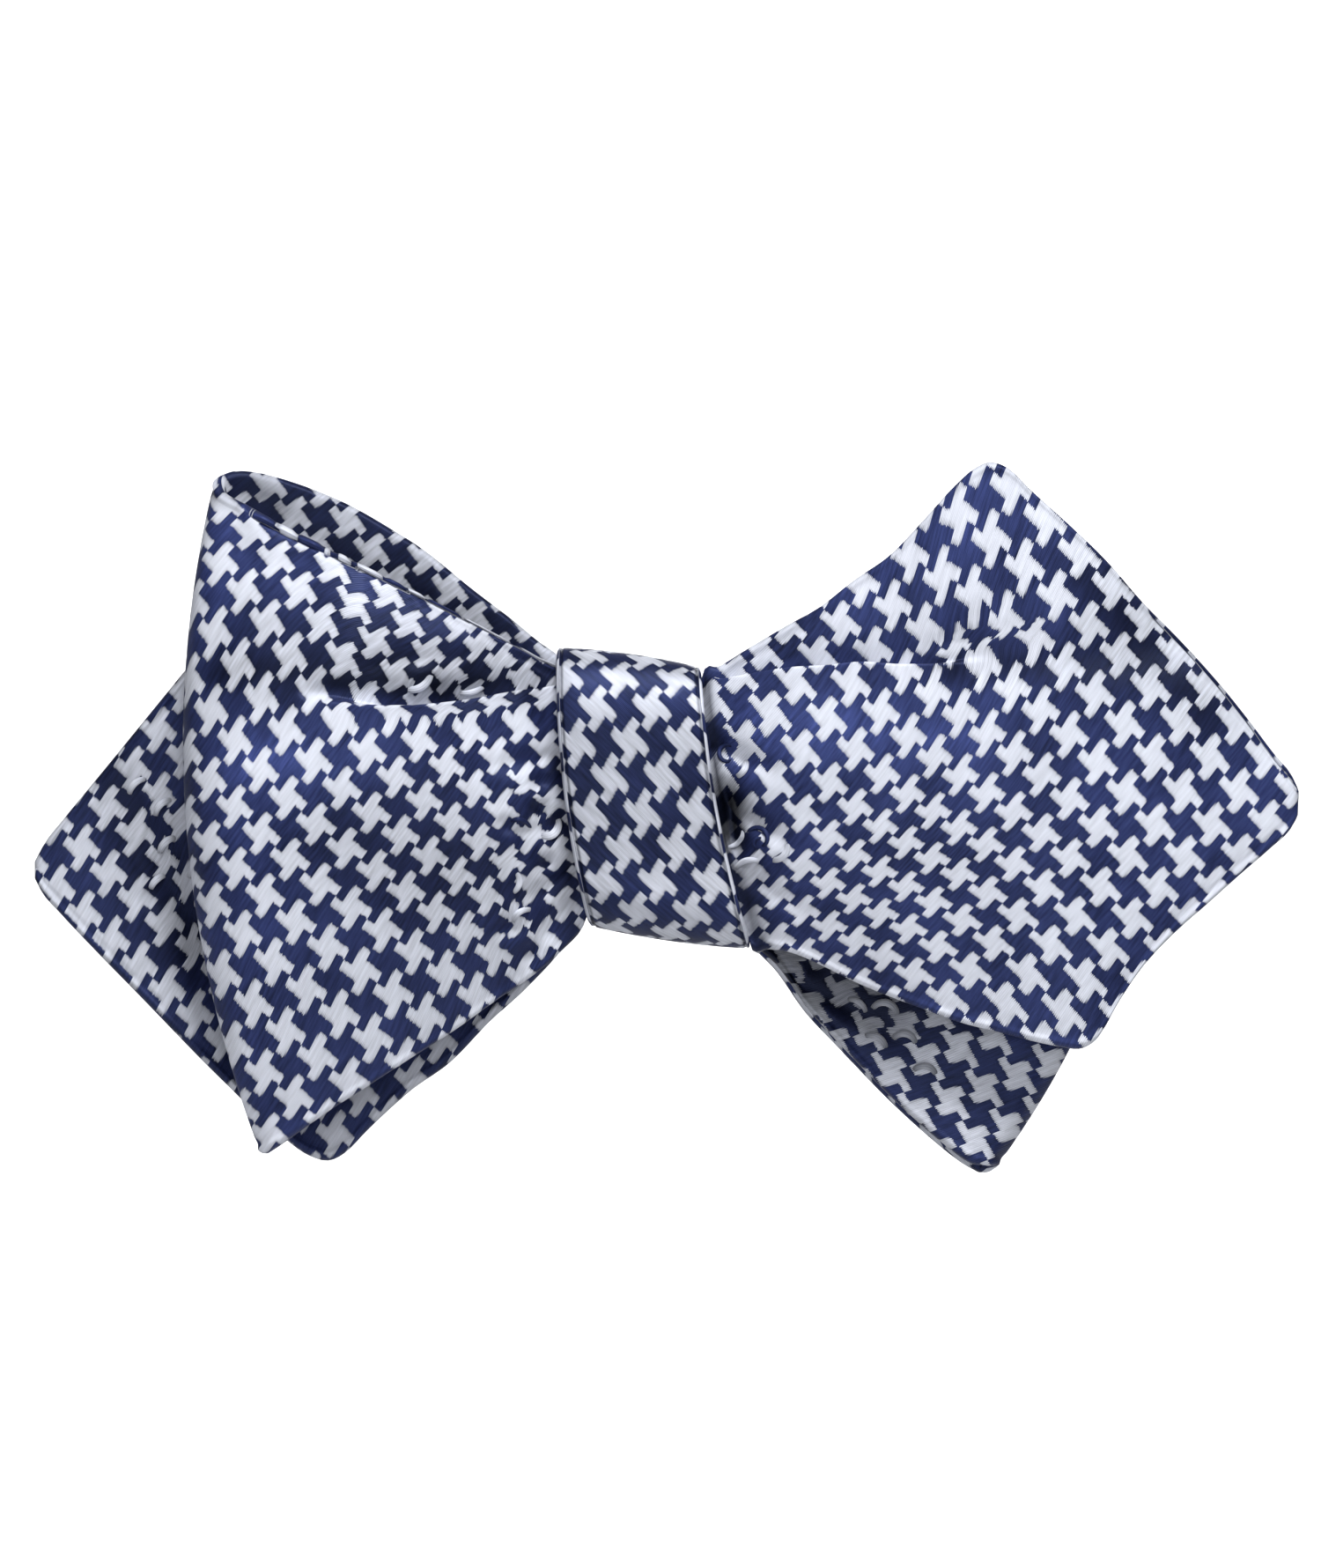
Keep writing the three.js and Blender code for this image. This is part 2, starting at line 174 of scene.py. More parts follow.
def edge_distance(grid):
    """Distance of each point from the nearest edge of the strip, measured along the cloth."""
    across = np.linalg.norm(np.diff(grid, axis=1), axis=2)
    along = np.linalg.norm(np.diff(grid, axis=0), axis=2)
    zeros_i = np.zeros((grid.shape[0], 1))
    zeros_j = np.zeros((1, grid.shape[1]))
    down = np.concatenate([zeros_i, np.cumsum(across, axis=1)], axis=1)
    up = down[:, -1:] - down
    out = np.concatenate([zeros_j, np.cumsum(along, axis=0)], axis=0)
    back = out[-1:] - out
    return np.minimum(np.minimum(down, up), np.minimum(out, back))


# %% [markdown]
# Folds and puckers.
# Pinched cloth makes furrows that start at the knot and die out on the wing. Each is a line in the
# picture with a width and a depth, and pushes the cloth back or, with a minus, forward. The pleat is
# different: there the cloth laps over itself, so it is written as a curl of the surface across the crease.

# %% Furrows and the lapped pleat
# A furrow is: x and z of its first and second end, width and depth.
LAP_HALF = 0.8
LAP_FORWARD = 1.6
LAP_UNDERCUT = 1.4
CURL_AT = 0.75
LAP_FADE = (4, 34)
TUCK_REACH = 3.0


def furrowed(face, furrows):
    """Push the cloth back along its furrows. A furrow fades towards its second end."""
    face = face.copy()
    for x0, z0, x1, z1, width, depth in furrows:
        line = np.array([x1 - x0, z1 - z0])
        length = np.linalg.norm(line)
        px, pz = face[:, :, 0] - x0, face[:, :, 2] - z0
        along = (px * line[0] + pz * line[1]) / length**2
        off = (px * line[1] - pz * line[0]) / length
        fade = smooth_step(-0.25, 0.1, along) * (1 - smooth_step(0.35, 1.1, along))
        face[:, :, 1] += depth * fade * np.exp(-((off / width) ** 2))
    return face


def lapped(face, shares, stations, tuck):
    """Lap the cloth over itself at the crease of each station: the lower part comes forward over the
    upper part, whose lower end sinks back and is tucked in behind it."""
    crease = stations[:, 8:9]
    lap = stations[:, 9:10]
    width = np.hypot(stations[:, 0] - stations[:, 2], stations[:, 1] - stations[:, 3])[:, None]
    off = (shares - crease) * width / LAP_HALF
    curl = np.exp(-(((off + CURL_AT) / CURL_AT) ** 2)) - np.exp(-(((off - CURL_AT) / CURL_AT) ** 2))
    over = smooth_step(-0.8, 0.8, off)
    rise = over * (1 - 0.85 * smooth_step(*LAP_FADE, off * LAP_HALF))
    above = np.maximum(-off * LAP_HALF, 0)
    sink = np.where(off < 0, np.exp(-((above / TUCK_REACH) ** 1.3)), 1) * (1 - over)
    face = face.copy()
    face[:, :, 1] += tuck * lap * sink - LAP_FORWARD * lap * rise
    face[:, :, 2] -= LAP_UNDERCUT * lap * curl
    return face


# %% [markdown]
# Two faces and a seam.
# The cloth is a closed shell: an outer and an inner face, half a wall to each side of the strip, that
# meet in a round seam at the edges. A real seam rolls a little towards the front, so the outer face has
# a low bead along it and a shallow groove inside the bead.

# %% Close two faces into one shell with a UV map
def shell(name, outer, inner, outer_uv, inner_uv, outer_painted_light, inner_painted_light, ring=False):
    """A closed mesh from two grids. They share their edges, which is where the seam runs."""
    rows, columns = outer.shape[:2]
    mesh = bmesh.new()
    uv_layer = mesh.loops.layers.uv.new("cloth")
    # Each point carries its painted light and shade and the looseness of its floats.
    painted_light_layer = mesh.verts.layers.float_vector.new("painted_light_and_slack")

    def vert(place, painted_light_and_slack):
        made = mesh.verts.new(place * MM)
        made[painted_light_layer] = painted_light_and_slack
        return made

    outer_verts = [[vert(outer[i, j], outer_painted_light[i, j]) for j in range(columns)] for i in range(rows)]
    inner_verts = [
        [
            outer_verts[i][j]
            if j in (0, columns - 1) or (not ring and i in (0, rows - 1))
            else vert(inner[i, j], inner_painted_light[i, j])
            for j in range(columns)
        ]
        for i in range(rows)
    ]
    for verts, uv, turned_from_light in ((outer_verts, outer_uv, False), (inner_verts, inner_uv, True)):
        for i in range(rows if ring else rows - 1):
            k = (i + 1) % rows
            for j in range(columns - 1):
                spots = [(i, j), (k, j), (k, j + 1), (i, j + 1)]
                if turned_from_light:
                    spots.reverse()
                face = mesh.faces.new([verts[a][b] for a, b in spots])
                face.smooth = True
                for loop, (a, b) in zip(face.loops, spots):
                    row = rows if ring and a == 0 and i == rows - 1 else a
                    loop[uv_layer].uv = uv[row, b]
    bmesh.ops.recalc_face_normals(mesh, faces=mesh.faces)
    data = bpy.data.meshes.new(name)
    mesh.to_mesh(data)
    mesh.free()
    thing = bpy.data.objects.new(name, data)
    bpy.context.collection.objects.link(thing)
    return thing


WALL = 1.3
SEAM_ROUND = 0.75
BEAD = 0.12


def cloth_faces(grid, folded, front_row):
    """The outer and inner face of the cloth, with a round seam and its bead. The outer face is the one
    that faces the camera at the front row. Both faces go along where the strip is furrowed or lapped."""
    normal = normals_of(grid)
    if normal[front_row, ACROSS // 2, 1] > 0:
        normal = -normal
    edge = edge_distance(grid)
    near = np.clip(edge / SEAM_ROUND, 0, 1)
    half = WALL / 2 * np.sqrt(np.maximum(1 - (1 - near) ** 2, 0))
    groove = 0.8 * BEAD * np.exp(-(((edge - 1.35) / 0.4) ** 2))
    roll = BEAD * np.exp(-(((edge - 0.55) / 0.35) ** 2)) - groove
    outer = folded + normal * (half + roll * near)[:, :, None]
    inner = folded - normal * half[:, :, None]
    return outer, inner


# %% Lips, cord and tacks along an edge
# A twist of the cord reads one stretch of the weave: where it starts, along and across, by colour.
WHITE_TWIST = (-0.42, 0.04)
NAVY_TWIST = (0.32, 0.31)
TWIST_SPAN = (0.6, 0.15)


def lipped(face, uv, edge, where, lip, depth, shift):
    """A groove along an edge. The lip outside it belongs to the other face of the cloth, so its weave is
    out of step."""
    share = where * np.ones_like(edge)
    face[:, :, 1] += depth * share * np.exp(-(((edge - lip) / 0.14) ** 2))
    face[:, :, 1] -= 0.12 * share * np.exp(-(((edge - lip * 0.5) / 0.2) ** 2))
    uv[(edge < lip) & (share > 0.5)] += shift


def corded(face, uv, edge, where, lip, turns):
    """Roll the lip into a cord: short twists of the other face, white and navy by turns, with a pinch
    where one twist ends and the next begins. Returns how deep each point of the cord is pinched, which also
    sets the painted shade of the pinches."""
    grow = (DISTANCE + face[:, :, 1] - FACE_DEPTH) / DISTANCE
    x = face[:, :, 0] / grow
    ends = np.concatenate([[turns[0] - 3.0], turns, [turns[-1] + 3.0]])
    twist = np.clip(np.searchsorted(ends, x) - 1, 0, len(ends) - 2)
    share = np.clip((x - ends[twist]) / (ends[twist + 1] - ends[twist]), 0, 1)
    white = twist % 2 == 0
    on_cord = where & (edge < lip)
    round_cord = np.clip(edge / lip, 0, 1)
    for axis, place in enumerate((share, round_cord)):
        start = np.where(white, WHITE_TWIST[axis], NAVY_TWIST[axis])
        uv[:, :, axis] = np.where(on_cord, start + TWIST_SPAN[axis] * place, uv[:, :, axis])
    pinch = np.exp(-((np.abs(x[:, :, None] - np.array(turns)).min(axis=2) / 0.22) ** 2)) * where
    cord = pinch * np.exp(-((edge / lip) ** 4))
    face[:, :, 1] += 0.3 * cord
    face[:, :, 2] -= 0.22 * cord * (1 - round_cord)
    return cord


def tacked(face, tacks):
    """Small stitches pull the cloth in: a dent at each, and the cloth bulges beside it."""
    for x, z, size, depth in tacks:
        away = np.hypot(face[:, :, 0] - x, face[:, :, 2] - z) / size
        face[:, :, 1] += depth * (np.exp(-(away**2)) - 0.45 * np.exp(-((away - 1.9) ** 2)))
    return face


# %% [markdown]
# The weave as a map.
# The houndstooth repeats every 4 mm or so, but pressing, pulling and folding lean and stretch it, and
# in the picture each part of the bow has its own lean. A short table says for a few places how the long
# floats lean, how long one repeat is along them, and the same for the other way of the weave. A smooth
# map from places to repeats has these slopes at the rows. One more pair says where a white tooth sits.

# %% Fit the map from places on the cloth to repeats of the weave
# A row of grain is: x, z, lean and repeat of the long floats, lean and repeat across them.
REACH = 15.0
SOFTNESS = 0.02


def weave_map(grain, tooth):
    """A function from places to repeats. It has the measured slopes at the rows, turns smoothly from one
    to the next within their reach, and goes on with the mean slope beyond."""
    grain = np.array(grain, float)
    places = grain[:, :2]
    slopes = []
    for leans in grain[:, 2:].reshape(-1, 2, 2):
        ways = [
            repeat * np.array([math.cos(math.radians(lean)), math.sin(math.radians(lean))])
            for lean, repeat in leans
        ]
        slopes.append(np.linalg.inv(np.array(ways)))
    slopes = np.array(slopes)
    mean = slopes.mean(axis=0)
    count = len(places)
    kernel = np.zeros((2 * count, 2 * count))
    for i in range(count):
        for j in range(count):
            gap = (places[i] - places[j]) / REACH
            block = (np.eye(2) - np.outer(gap, gap)) * math.exp(-0.5 * gap @ gap)
            kernel[2 * i:2 * i + 2, 2 * j:2 * j + 2] = block
    kernel += SOFTNESS * np.eye(2 * count)
    weights = np.linalg.solve(kernel, (slopes - mean).reshape(2 * count, 2)).reshape(count, 2, 2)

    def rises(points):
        total = points @ mean
        for place, weight in zip(places, weights):
            gap = points - place
            near = np.exp(-0.5 * (gap**2).sum(axis=-1, keepdims=True) / REACH**2)
            total = total + (gap @ weight) * near
        return total

    start = rises(np.array(tooth, float))
    return lambda points: rises(points) - start


def flattened(face, anchor_i, anchor_j):
    """Places on the cloth laid flat: as they appear in the picture where the cloth faces it, and by
    length along the cloth where it turns away, so that the pattern runs on round folds and seams."""
    grow = (DISTANCE + face[:, :, 1] - FACE_DEPTH) / DISTANCE
    x = face[:, :, 0] / grow
    z = PICTURE_MIDDLE + (face[:, :, 2] - PICTURE_MIDDLE) / grow

    def turned_away(flat_step, deep_step):
        rest = np.maximum(np.abs(deep_step) - 1.2 * np.abs(flat_step), 0)
        return np.hypot(flat_step, rest) - np.abs(flat_step)

    along = np.diff(x, axis=0)
    sense = np.sign(along[:, anchor_j])[:, None]
    steps = along * sense + turned_away(along, np.diff(face[:, :, 1], axis=0))
    flat_x = np.concatenate([np.zeros((1, x.shape[1])), np.cumsum(steps, axis=0)], axis=0)
    flat_x = (flat_x - flat_x[anchor_i]) * sense[anchor_i] + x[anchor_i]
    down = np.diff(z, axis=1)
    steps = down - turned_away(down, np.diff(face[:, :, 1], axis=1))
    flat_z = np.concatenate([np.zeros((z.shape[0], 1)), np.cumsum(steps, axis=1)], axis=1)
    flat_z += (z[:, anchor_j] - flat_z[:, anchor_j])[:, None]
    return np.stack([flat_x, flat_z], axis=-1)


def nearest_in_front(face, x, z):
    """The foremost point of a face near a place in the picture, counted along the rows."""
    away = np.hypot(face[:, :, 0] - x, face[:, :, 2] - z)
    return np.argmin(face[:, :, 1] + 6 * away + 100 * (away > 1.2))


def on_cloth(face, flat, x, z):
    """Where a place in the picture lies on the flat cloth."""
    return flat.reshape(-1, 2)[nearest_in_front(face, x, z)].copy()


def gathered(face, flat, lines):
    """Squeeze the weave across a few lines, where the cloth is gathered, and let it out beside them."""
    ends = [(on_cloth(face, flat, x0, z0), on_cloth(face, flat, x1, z1)) for x0, z0, x1, z1, _, _ in lines]
    flat = flat.copy()
    for (start, end), (*_, width, amount) in zip(ends, lines):
        line = end - start
        length = np.linalg.norm(line)
        normal = np.array([-line[1], line[0]]) / length
        gap = flat - start
        along = gap @ line / length**2
        off = gap @ normal
        fade = smooth_step(-0.2, 0.15, along) * (1 - smooth_step(0.8, 1.2, along))
        flat += (amount * off * np.exp(-((off / width) ** 2)) * fade)[..., None] * normal
    return flat


def ruffled(face, flat, spots):
    """Turn the weave a little round a few spots, where long floats have slipped and lie in arcs."""
    centres = [on_cloth(face, flat, x, z) for x, z, _, _ in spots]
    flat = flat.copy()
    for centre, (_, _, size, turn) in zip(centres, spots):
        gap = flat - centre
        angle = math.radians(turn) * np.exp(-((gap**2).sum(axis=-1)) / size**2)
        flat[..., 0] = centre[0] + gap[..., 0] * np.cos(angle) - gap[..., 1] * np.sin(angle)
        flat[..., 1] = centre[1] + gap[..., 0] * np.sin(angle) + gap[..., 1] * np.cos(angle)
    return flat


def laid(face, anchor_i, anchor_j, gathers, ruffles):
    """The cloth laid flat, with its gathers and ruffles."""
    flat = flattened(face, anchor_i, anchor_j)
    return ruffled(face, gathered(face, flat, gathers), ruffles)


# %% [markdown]
# The colour also carries painted light and shade: each piece's painted light per point, painted shade at
# the sunk float ends and between threads, and painted sheen in patches on the navy.
# The silk.
# Jacquard houndstooth is drawn by long floats: silver-white threads lie over the navy ones in one tooth
# and dive under them in the next. So the colour is a test on the map of the weave, cut into threads so
# that the ends of the floats are ragged like a comb. The threads also give the bump, and their ends sink.
# Python expressions on a small wrapper class keep the shader maths readable.

# %% Painted light: how bright the floats look
def painted_light_of(face, base, spots, edge=None, slack=()):
    """Painted light and shade of the white and of the navy floats at each point, and how loose they lie.
    A spot is a line in the picture with a width and two factors: painted shade where the silk turns from
    the light or lies in shadow, navy first, and painted sheen where a factor is above one."""
    painted_light_and_slack = np.ones(face.shape[:2] + (3,)) * (*base, 0)
    places = face[:, :, (0, 2)]
    for x0, z0, x1, z1, width, white, navy in spots:
        line = np.array([x1 - x0, z1 - z0])
        gap = places - (x0, z0)
        along = np.clip(gap @ line / (line @ line + 1e-9), 0, 1)
        away = np.linalg.norm(gap - along[..., None] * line, axis=-1) / width
        painted_light_and_slack *= 1 + (np.array([white, navy, 1]) - 1) * np.exp(-(away**2))[..., None]
    for x, z, size, _ in slack:
        away = np.linalg.norm(places - (x, z), axis=-1) / size
        painted_light_and_slack[:, :, 2] = np.maximum(painted_light_and_slack[:, :, 2], np.exp(-(away**2)))
    # Painted shade: darker along the cloth's edges, at the seams.
    if edge is not None:
        painted_light_and_slack[:, :, :2] *= (1 - 0.24 * np.exp(-((edge / 0.45) ** 2)))[..., None]
    return painted_light_and_slack


# %% A wrapper for sockets
class Wire:
    """A socket that takes part in sums. Each sum adds its Math node."""

    def __init__(self, tree, socket):
        self.tree = tree
        self.socket = socket

    def math(self, operation, *others):
        node = self.tree.nodes.new("ShaderNodeMath")
        node.operation = operation
        for slot, value in zip(node.inputs, (self, *others)):
            if isinstance(value, Wire):
                self.tree.links.new(value.socket, slot)
            else:
                slot.default_value = value
        return Wire(self.tree, node.outputs[0])

    def __add__(self, other):
        return self.math("ADD", other)

    def __sub__(self, other):
        return self.math("SUBTRACT", other)

    def __rsub__(self, other):
        return (self * -1.0).math("ADD", other)

    def __mul__(self, other):
        return self.math("MULTIPLY", other)

    __radd__ = __add__
    __rmul__ = __mul__

    def __gt__(self, other):
        return self.math("GREATER_THAN", other)

    def clamp(self):
        return add_node(self.tree, "ShaderNodeClamp", values={"Value": self})


def add_node(tree, kind, settings=None, values=None, out=0):
    """A node with its settings made first, then its sockets set or linked."""
    node = tree.nodes.new(kind)
    for name, value in (settings or {}).items():
        setattr(node, name, value)
    for name, value in (values or {}).items():
        if isinstance(value, Wire):
            tree.links.new(value.socket, node.inputs[name])
        else:
            node.inputs[name].default_value = value
    return Wire(tree, node.outputs[out]) if node.outputs else None


def parted(tree, vector):
    """The three parts of a vector."""
    node = add_node(tree, "ShaderNodeSeparateXYZ", values={"Vector": vector}).socket.node
    return [Wire(tree, out) for out in node.outputs]


def joined(tree, x, y=0.0):
    return add_node(tree, "ShaderNodeCombineXYZ", values={"X": x, "Y": y})


def noise(tree, place, **settings):
    """Flat noise at a place, from 0 to 1."""
    values = {"Vector": place, "Scale": 1.0, **settings}
    return add_node(tree, "ShaderNodeTexNoise", {"noise_dimensions": "2D"}, values)


# %% How far each point lies inside a white tooth
THREADS = 26
FLOAT_SLANT = 0.09
COMB_SLANT = 0.03
FLOAT_CUT = 0.26
COMB_CUT = 0.255
FLOAT_END = 0.475
COMB = 0.05
JITTER = 0.03
SLACK = 0.4


def inside_tooth(tree, p, q, looseness):
    """How deep a place in the weave lies in the white tooth, below zero outside it, and how far it is
    from the middle of its thread. Where the floats are loose their ends slip."""
    thread = (q * THREADS).math("FLOOR")
    within = (q * THREADS).math("FRACT")
    from_middle = (within - 0.5).math("ABSOLUTE") * 2.0
    jitter = add_node(
        tree, "ShaderNodeTexWhiteNoise", {"noise_dimensions": "3D"}, {"Vector": joined(tree, thread)}
    )
    slip = noise(tree, joined(tree, thread * 0.21, p * 0.7), Detail=3.0, Roughness=0.7)
    loose = looseness * (slip - 0.5) * SLACK
    comb = from_middle * from_middle * COMB
    a = (p + (jitter - 0.5) * JITTER + loose + 0.5).math("FRACT") - 0.5
    b = ((thread + 0.5) * (1 / THREADS) + 0.5).math("FRACT") - 0.5
    b_side = b > 0.0
    a_side = (a - comb * (b_side * 2.0 - 1.0)) > 0.0
    first = COMB_CUT - (b - 0.25) * COMB_SLANT - a - comb
    second = FLOAT_CUT + (a + 0.25) * FLOAT_SLANT - b
    third = a + COMB_CUT + (b + 0.25) * COMB_SLANT - comb
    fourth = b + FLOAT_CUT - (a - 0.25) * FLOAT_SLANT
    upper = a_side * first + (1 - a_side) * second
    lower = a_side * fourth + (1 - a_side) * third
    tooth = b_side * upper + (1 - b_side) * lower
    return tooth.math("MINIMUM", FLOAT_END - comb - a.math("ABSOLUTE")), from_middle


# %% The houndstooth silk
WHITE_SILK = (0.74, 0.77, 0.865, 1)
NAVY_SILK = (0.020, 0.028, 0.092, 1)
SHINE_TINT = (0.40, 0.50, 1.0, 1)
EDGE_SHARPNESS = 70.0
SINK_SHARPNESS = 14.0
BUMP_HEIGHT = 0.00008


def houndstooth_silk(name):
    """Silk from the weave map and the painted light and shade that each piece of cloth carries."""
    material = bpy.data.materials.new(name)
    material.use_nodes = True
    tree = material.node_tree
    tree.nodes.clear()
    p, q, _ = parted(tree, add_node(tree, "ShaderNodeUVMap", {"uv_map": "cloth"}))
    # Painted light and shade of the white and the navy floats, and how loose they lie, from the cloth's
    # points.
    painted_light_and_slack = add_node(tree, "ShaderNodeAttribute", {"attribute_name": "painted_light_and_slack"}, out=1)
    white_painted_light, navy_painted_light, looseness = parted(tree, painted_light_and_slack)
    inside, from_middle = inside_tooth(tree, p, q, looseness)
    white = (inside * EDGE_SHARPNESS + 0.5).clamp()

    streak = noise(tree, joined(tree, p * 1.4, q * (THREADS * 0.55)), Detail=2.0)
    broad = noise(tree, joined(tree, p * 0.5, q * 0.5), Detail=3.0)
    # Floats darker where they sink at their ends: painted shade, beside the bump.
    sunk = (inside.math("ABSOLUTE") * SINK_SHARPNESS).clamp()
    groove = from_middle * from_middle * from_middle
    painted_light = navy_painted_light * (1 - white) + white_painted_light * white
    # Random thread streaks and broad patches of painted sheen on the navy.
    navy_streaks_and_sheen = (1 - white) * ((streak - 0.35) * 1.3 + (broad - 0.5) * 1.4)
    # Where the navy is painted darkest, the streaks and the painted shade in the grooves between threads
    # grow stronger.
    turned_from_light = (1 - navy_painted_light).clamp()
    lines = (streak - 0.5) * (0.36 + turned_from_light * 0.6) - groove * (0.16 + turned_from_light * 0.2)
    painted_light_and_streaks = painted_light * (0.84 + sunk * 0.18 + (broad - 0.5) * 0.2 + lines + navy_streaks_and_sheen).math("MAXIMUM", 0.05)
    colour = add_node(
        tree, "ShaderNodeMix", {"data_type": "RGBA"}, {"Factor": white, 6: NAVY_SILK, 7: WHITE_SILK}, out=2
    )
    shaded = add_node(tree, "ShaderNodeVectorMath", {"operation": "SCALE"}, {0: colour, "Scale": painted_light_and_streaks})

    height = sunk * 0.55 + (1 - from_middle * from_middle) * 0.28 + streak * 0.25
    bump = add_node(
        tree, "ShaderNodeBump", values={"Strength": 0.75, "Distance": BUMP_HEIGHT, "Height": height}
    )
    shader = add_node(tree, "ShaderNodeBsdfPrincipled", values={
        "Base Color": shaded,
        "Roughness": 0.40 + white * 0.06 + (streak - 0.5) * 0.14,
        "Normal": bump,
        "Specular IOR Level": 0.3,
        "Specular Tint": SHINE_TINT,
    })
    add_node(tree, "ShaderNodeOutputMaterial", values={"Surface": shader})
    print("nodes in the silk:", len(tree.nodes))
    return material


silk = houndstooth_silk("houndstooth_silk")

# %% [markdown]
# Loose floats.
# Where the silk was pulled through the knot, bundles of floats have slipped and stand up in small arcs.
# Each is the same thing along another line, so Geometry Nodes sweep a flat round section along all of
# them at once. The lines are laid on the cloth in Python, and carry the width and the weave as attributes.

# %% The tree that sweeps a bundle of floats along each line
# An arc is: x and z of its middle, radius, first and last angle, width, and whether it is white.
ARC_LIFT = 0.28
ARC_STEPS = 13


def captured(tree, geometry, value, name):
    """Keep a value on the points of a geometry. Returns the geometry and the kept value."""
    node = tree.nodes.new("GeometryNodeCaptureAttribute")
    node.capture_items.new("FLOAT", name)
    tree.links.new(geometry.socket, node.inputs["Geometry"])
    tree.links.new(value.socket, node.inputs[name])
    return Wire(tree, node.outputs["Geometry"]), Wire(tree, node.outputs[name])


def loose_float_tree():
    tree = bpy.data.node_groups.new("loose_floats", "GeometryNodeTree")
    inputs = {"Lines": "Geometry", "Thickness": "Float", "Sides": "Int", "Silk": "Material"}
    for name, kind in inputs.items():
        tree.interface.new_socket(name, in_out="INPUT", socket_type="NodeSocket" + kind)
    tree.interface.new_socket("Floats", in_out="OUTPUT", socket_type="NodeSocketGeometry")
    given = {name: Wire(tree, out) for name, out in tree.nodes.new("NodeGroupInput").outputs.items()}
    line = add_node(tree, "GeometryNodeMeshToCurve", values={"Mesh": given["Lines"]})
    line = add_node(
        tree, "GeometryNodeSetCurveNormal", {"mode": "FREE"}, {"Curve": line, "Normal": (0, -1, 0)}
    )
    line, along = captured(tree, line, add_node(tree, "GeometryNodeSplineParameter"), "along")
    section = add_node(
        tree, "GeometryNodeCurvePrimitiveCircle", {"mode": "RADIUS"},
        {"Resolution": given["Sides"], "Radius": 0.5},
    )
    flat = add_node(tree, "ShaderNodeCombineXYZ", values={"X": given["Thickness"], "Y": 1.0, "Z": 1.0})
    section = add_node(tree, "GeometryNodeTransform", values={"Geometry": section, "Scale": flat})
    section, around = captured(tree, section, add_node(tree, "GeometryNodeSplineParameter"), "around")
    width = add_node(tree, "GeometryNodeInputNamedAttribute", values={"Name": "width"})
    white = add_node(tree, "GeometryNodeInputNamedAttribute", values={"Name": "white"})
    bundle = add_node(
        tree, "GeometryNodeCurveToMesh",
        values={"Curve": line, "Profile Curve": section, "Scale": width, "Fill Caps": True},
    )
    across = (around + 0.25).math("FRACT") * 2.0
    weave = add_node(tree, "ShaderNodeCombineXYZ", values={
        "X": 0.32 + along * 0.6 - white * 0.74,
        "Y": 0.31 + across * 0.15 - white * 0.27,
    })
    bundle = add_node(
        tree, "GeometryNodeStoreNamedAttribute", {"data_type": "FLOAT2", "domain": "CORNER"},
        {"Geometry": bundle, "Name": "cloth", "Value": weave},
    )
    bundle = add_node(tree, "GeometryNodeSetShadeSmooth", values={"Geometry": bundle})
    bundle = add_node(tree, "GeometryNodeRealizeInstances", values={"Geometry": bundle})
    bundle = add_node(
        tree, "GeometryNodeSetMaterial", values={"Geometry": bundle, "Material": given["Silk"]}
    )
    tree.links.new(bundle.socket, tree.nodes.new("NodeGroupOutput").inputs["Floats"])
    print("nodes in the loose floats' tree:", len(tree.nodes))
    return tree


FLOAT_TREE = loose_float_tree()


# %% Lay the lines on the cloth and sweep them
NEAR_ROWS = 9
NEAR_COLUMNS = 22


def laid_line(face, x, z, radius, start, end):
    """An arc in the picture, laid on a face: its points, and how high it arches at each."""
    share = np.linspace(0, 1, ARC_STEPS)
    turn = np.radians(start + (end - start) * share)
    px, pz = x + radius * np.cos(turn), z + radius * np.sin(turn)
    i, j = np.unravel_index(nearest_in_front(face, px[ARC_STEPS // 2], pz[ARC_STEPS // 2]), face.shape[:2])
    rows = slice(max(i - NEAR_ROWS, 0), i + NEAR_ROWS + 1)
    near = face[rows, max(j - NEAR_COLUMNS, 0):j + NEAR_COLUMNS + 1].reshape(-1, 3)
    away = (px[:, None] - near[:, 0]) ** 2 + (pz[:, None] - near[:, 2]) ** 2
    weight = np.exp(-away / 0.3**2) + 1e-12
    depth = (weight * near[:, 1]).sum(axis=1) / weight.sum(axis=1)
    arch = np.sin(math.pi * share).clip(0)
    return np.stack([px, depth + 0.1 - ARC_LIFT * np.sqrt(arch), pz], axis=1), arch


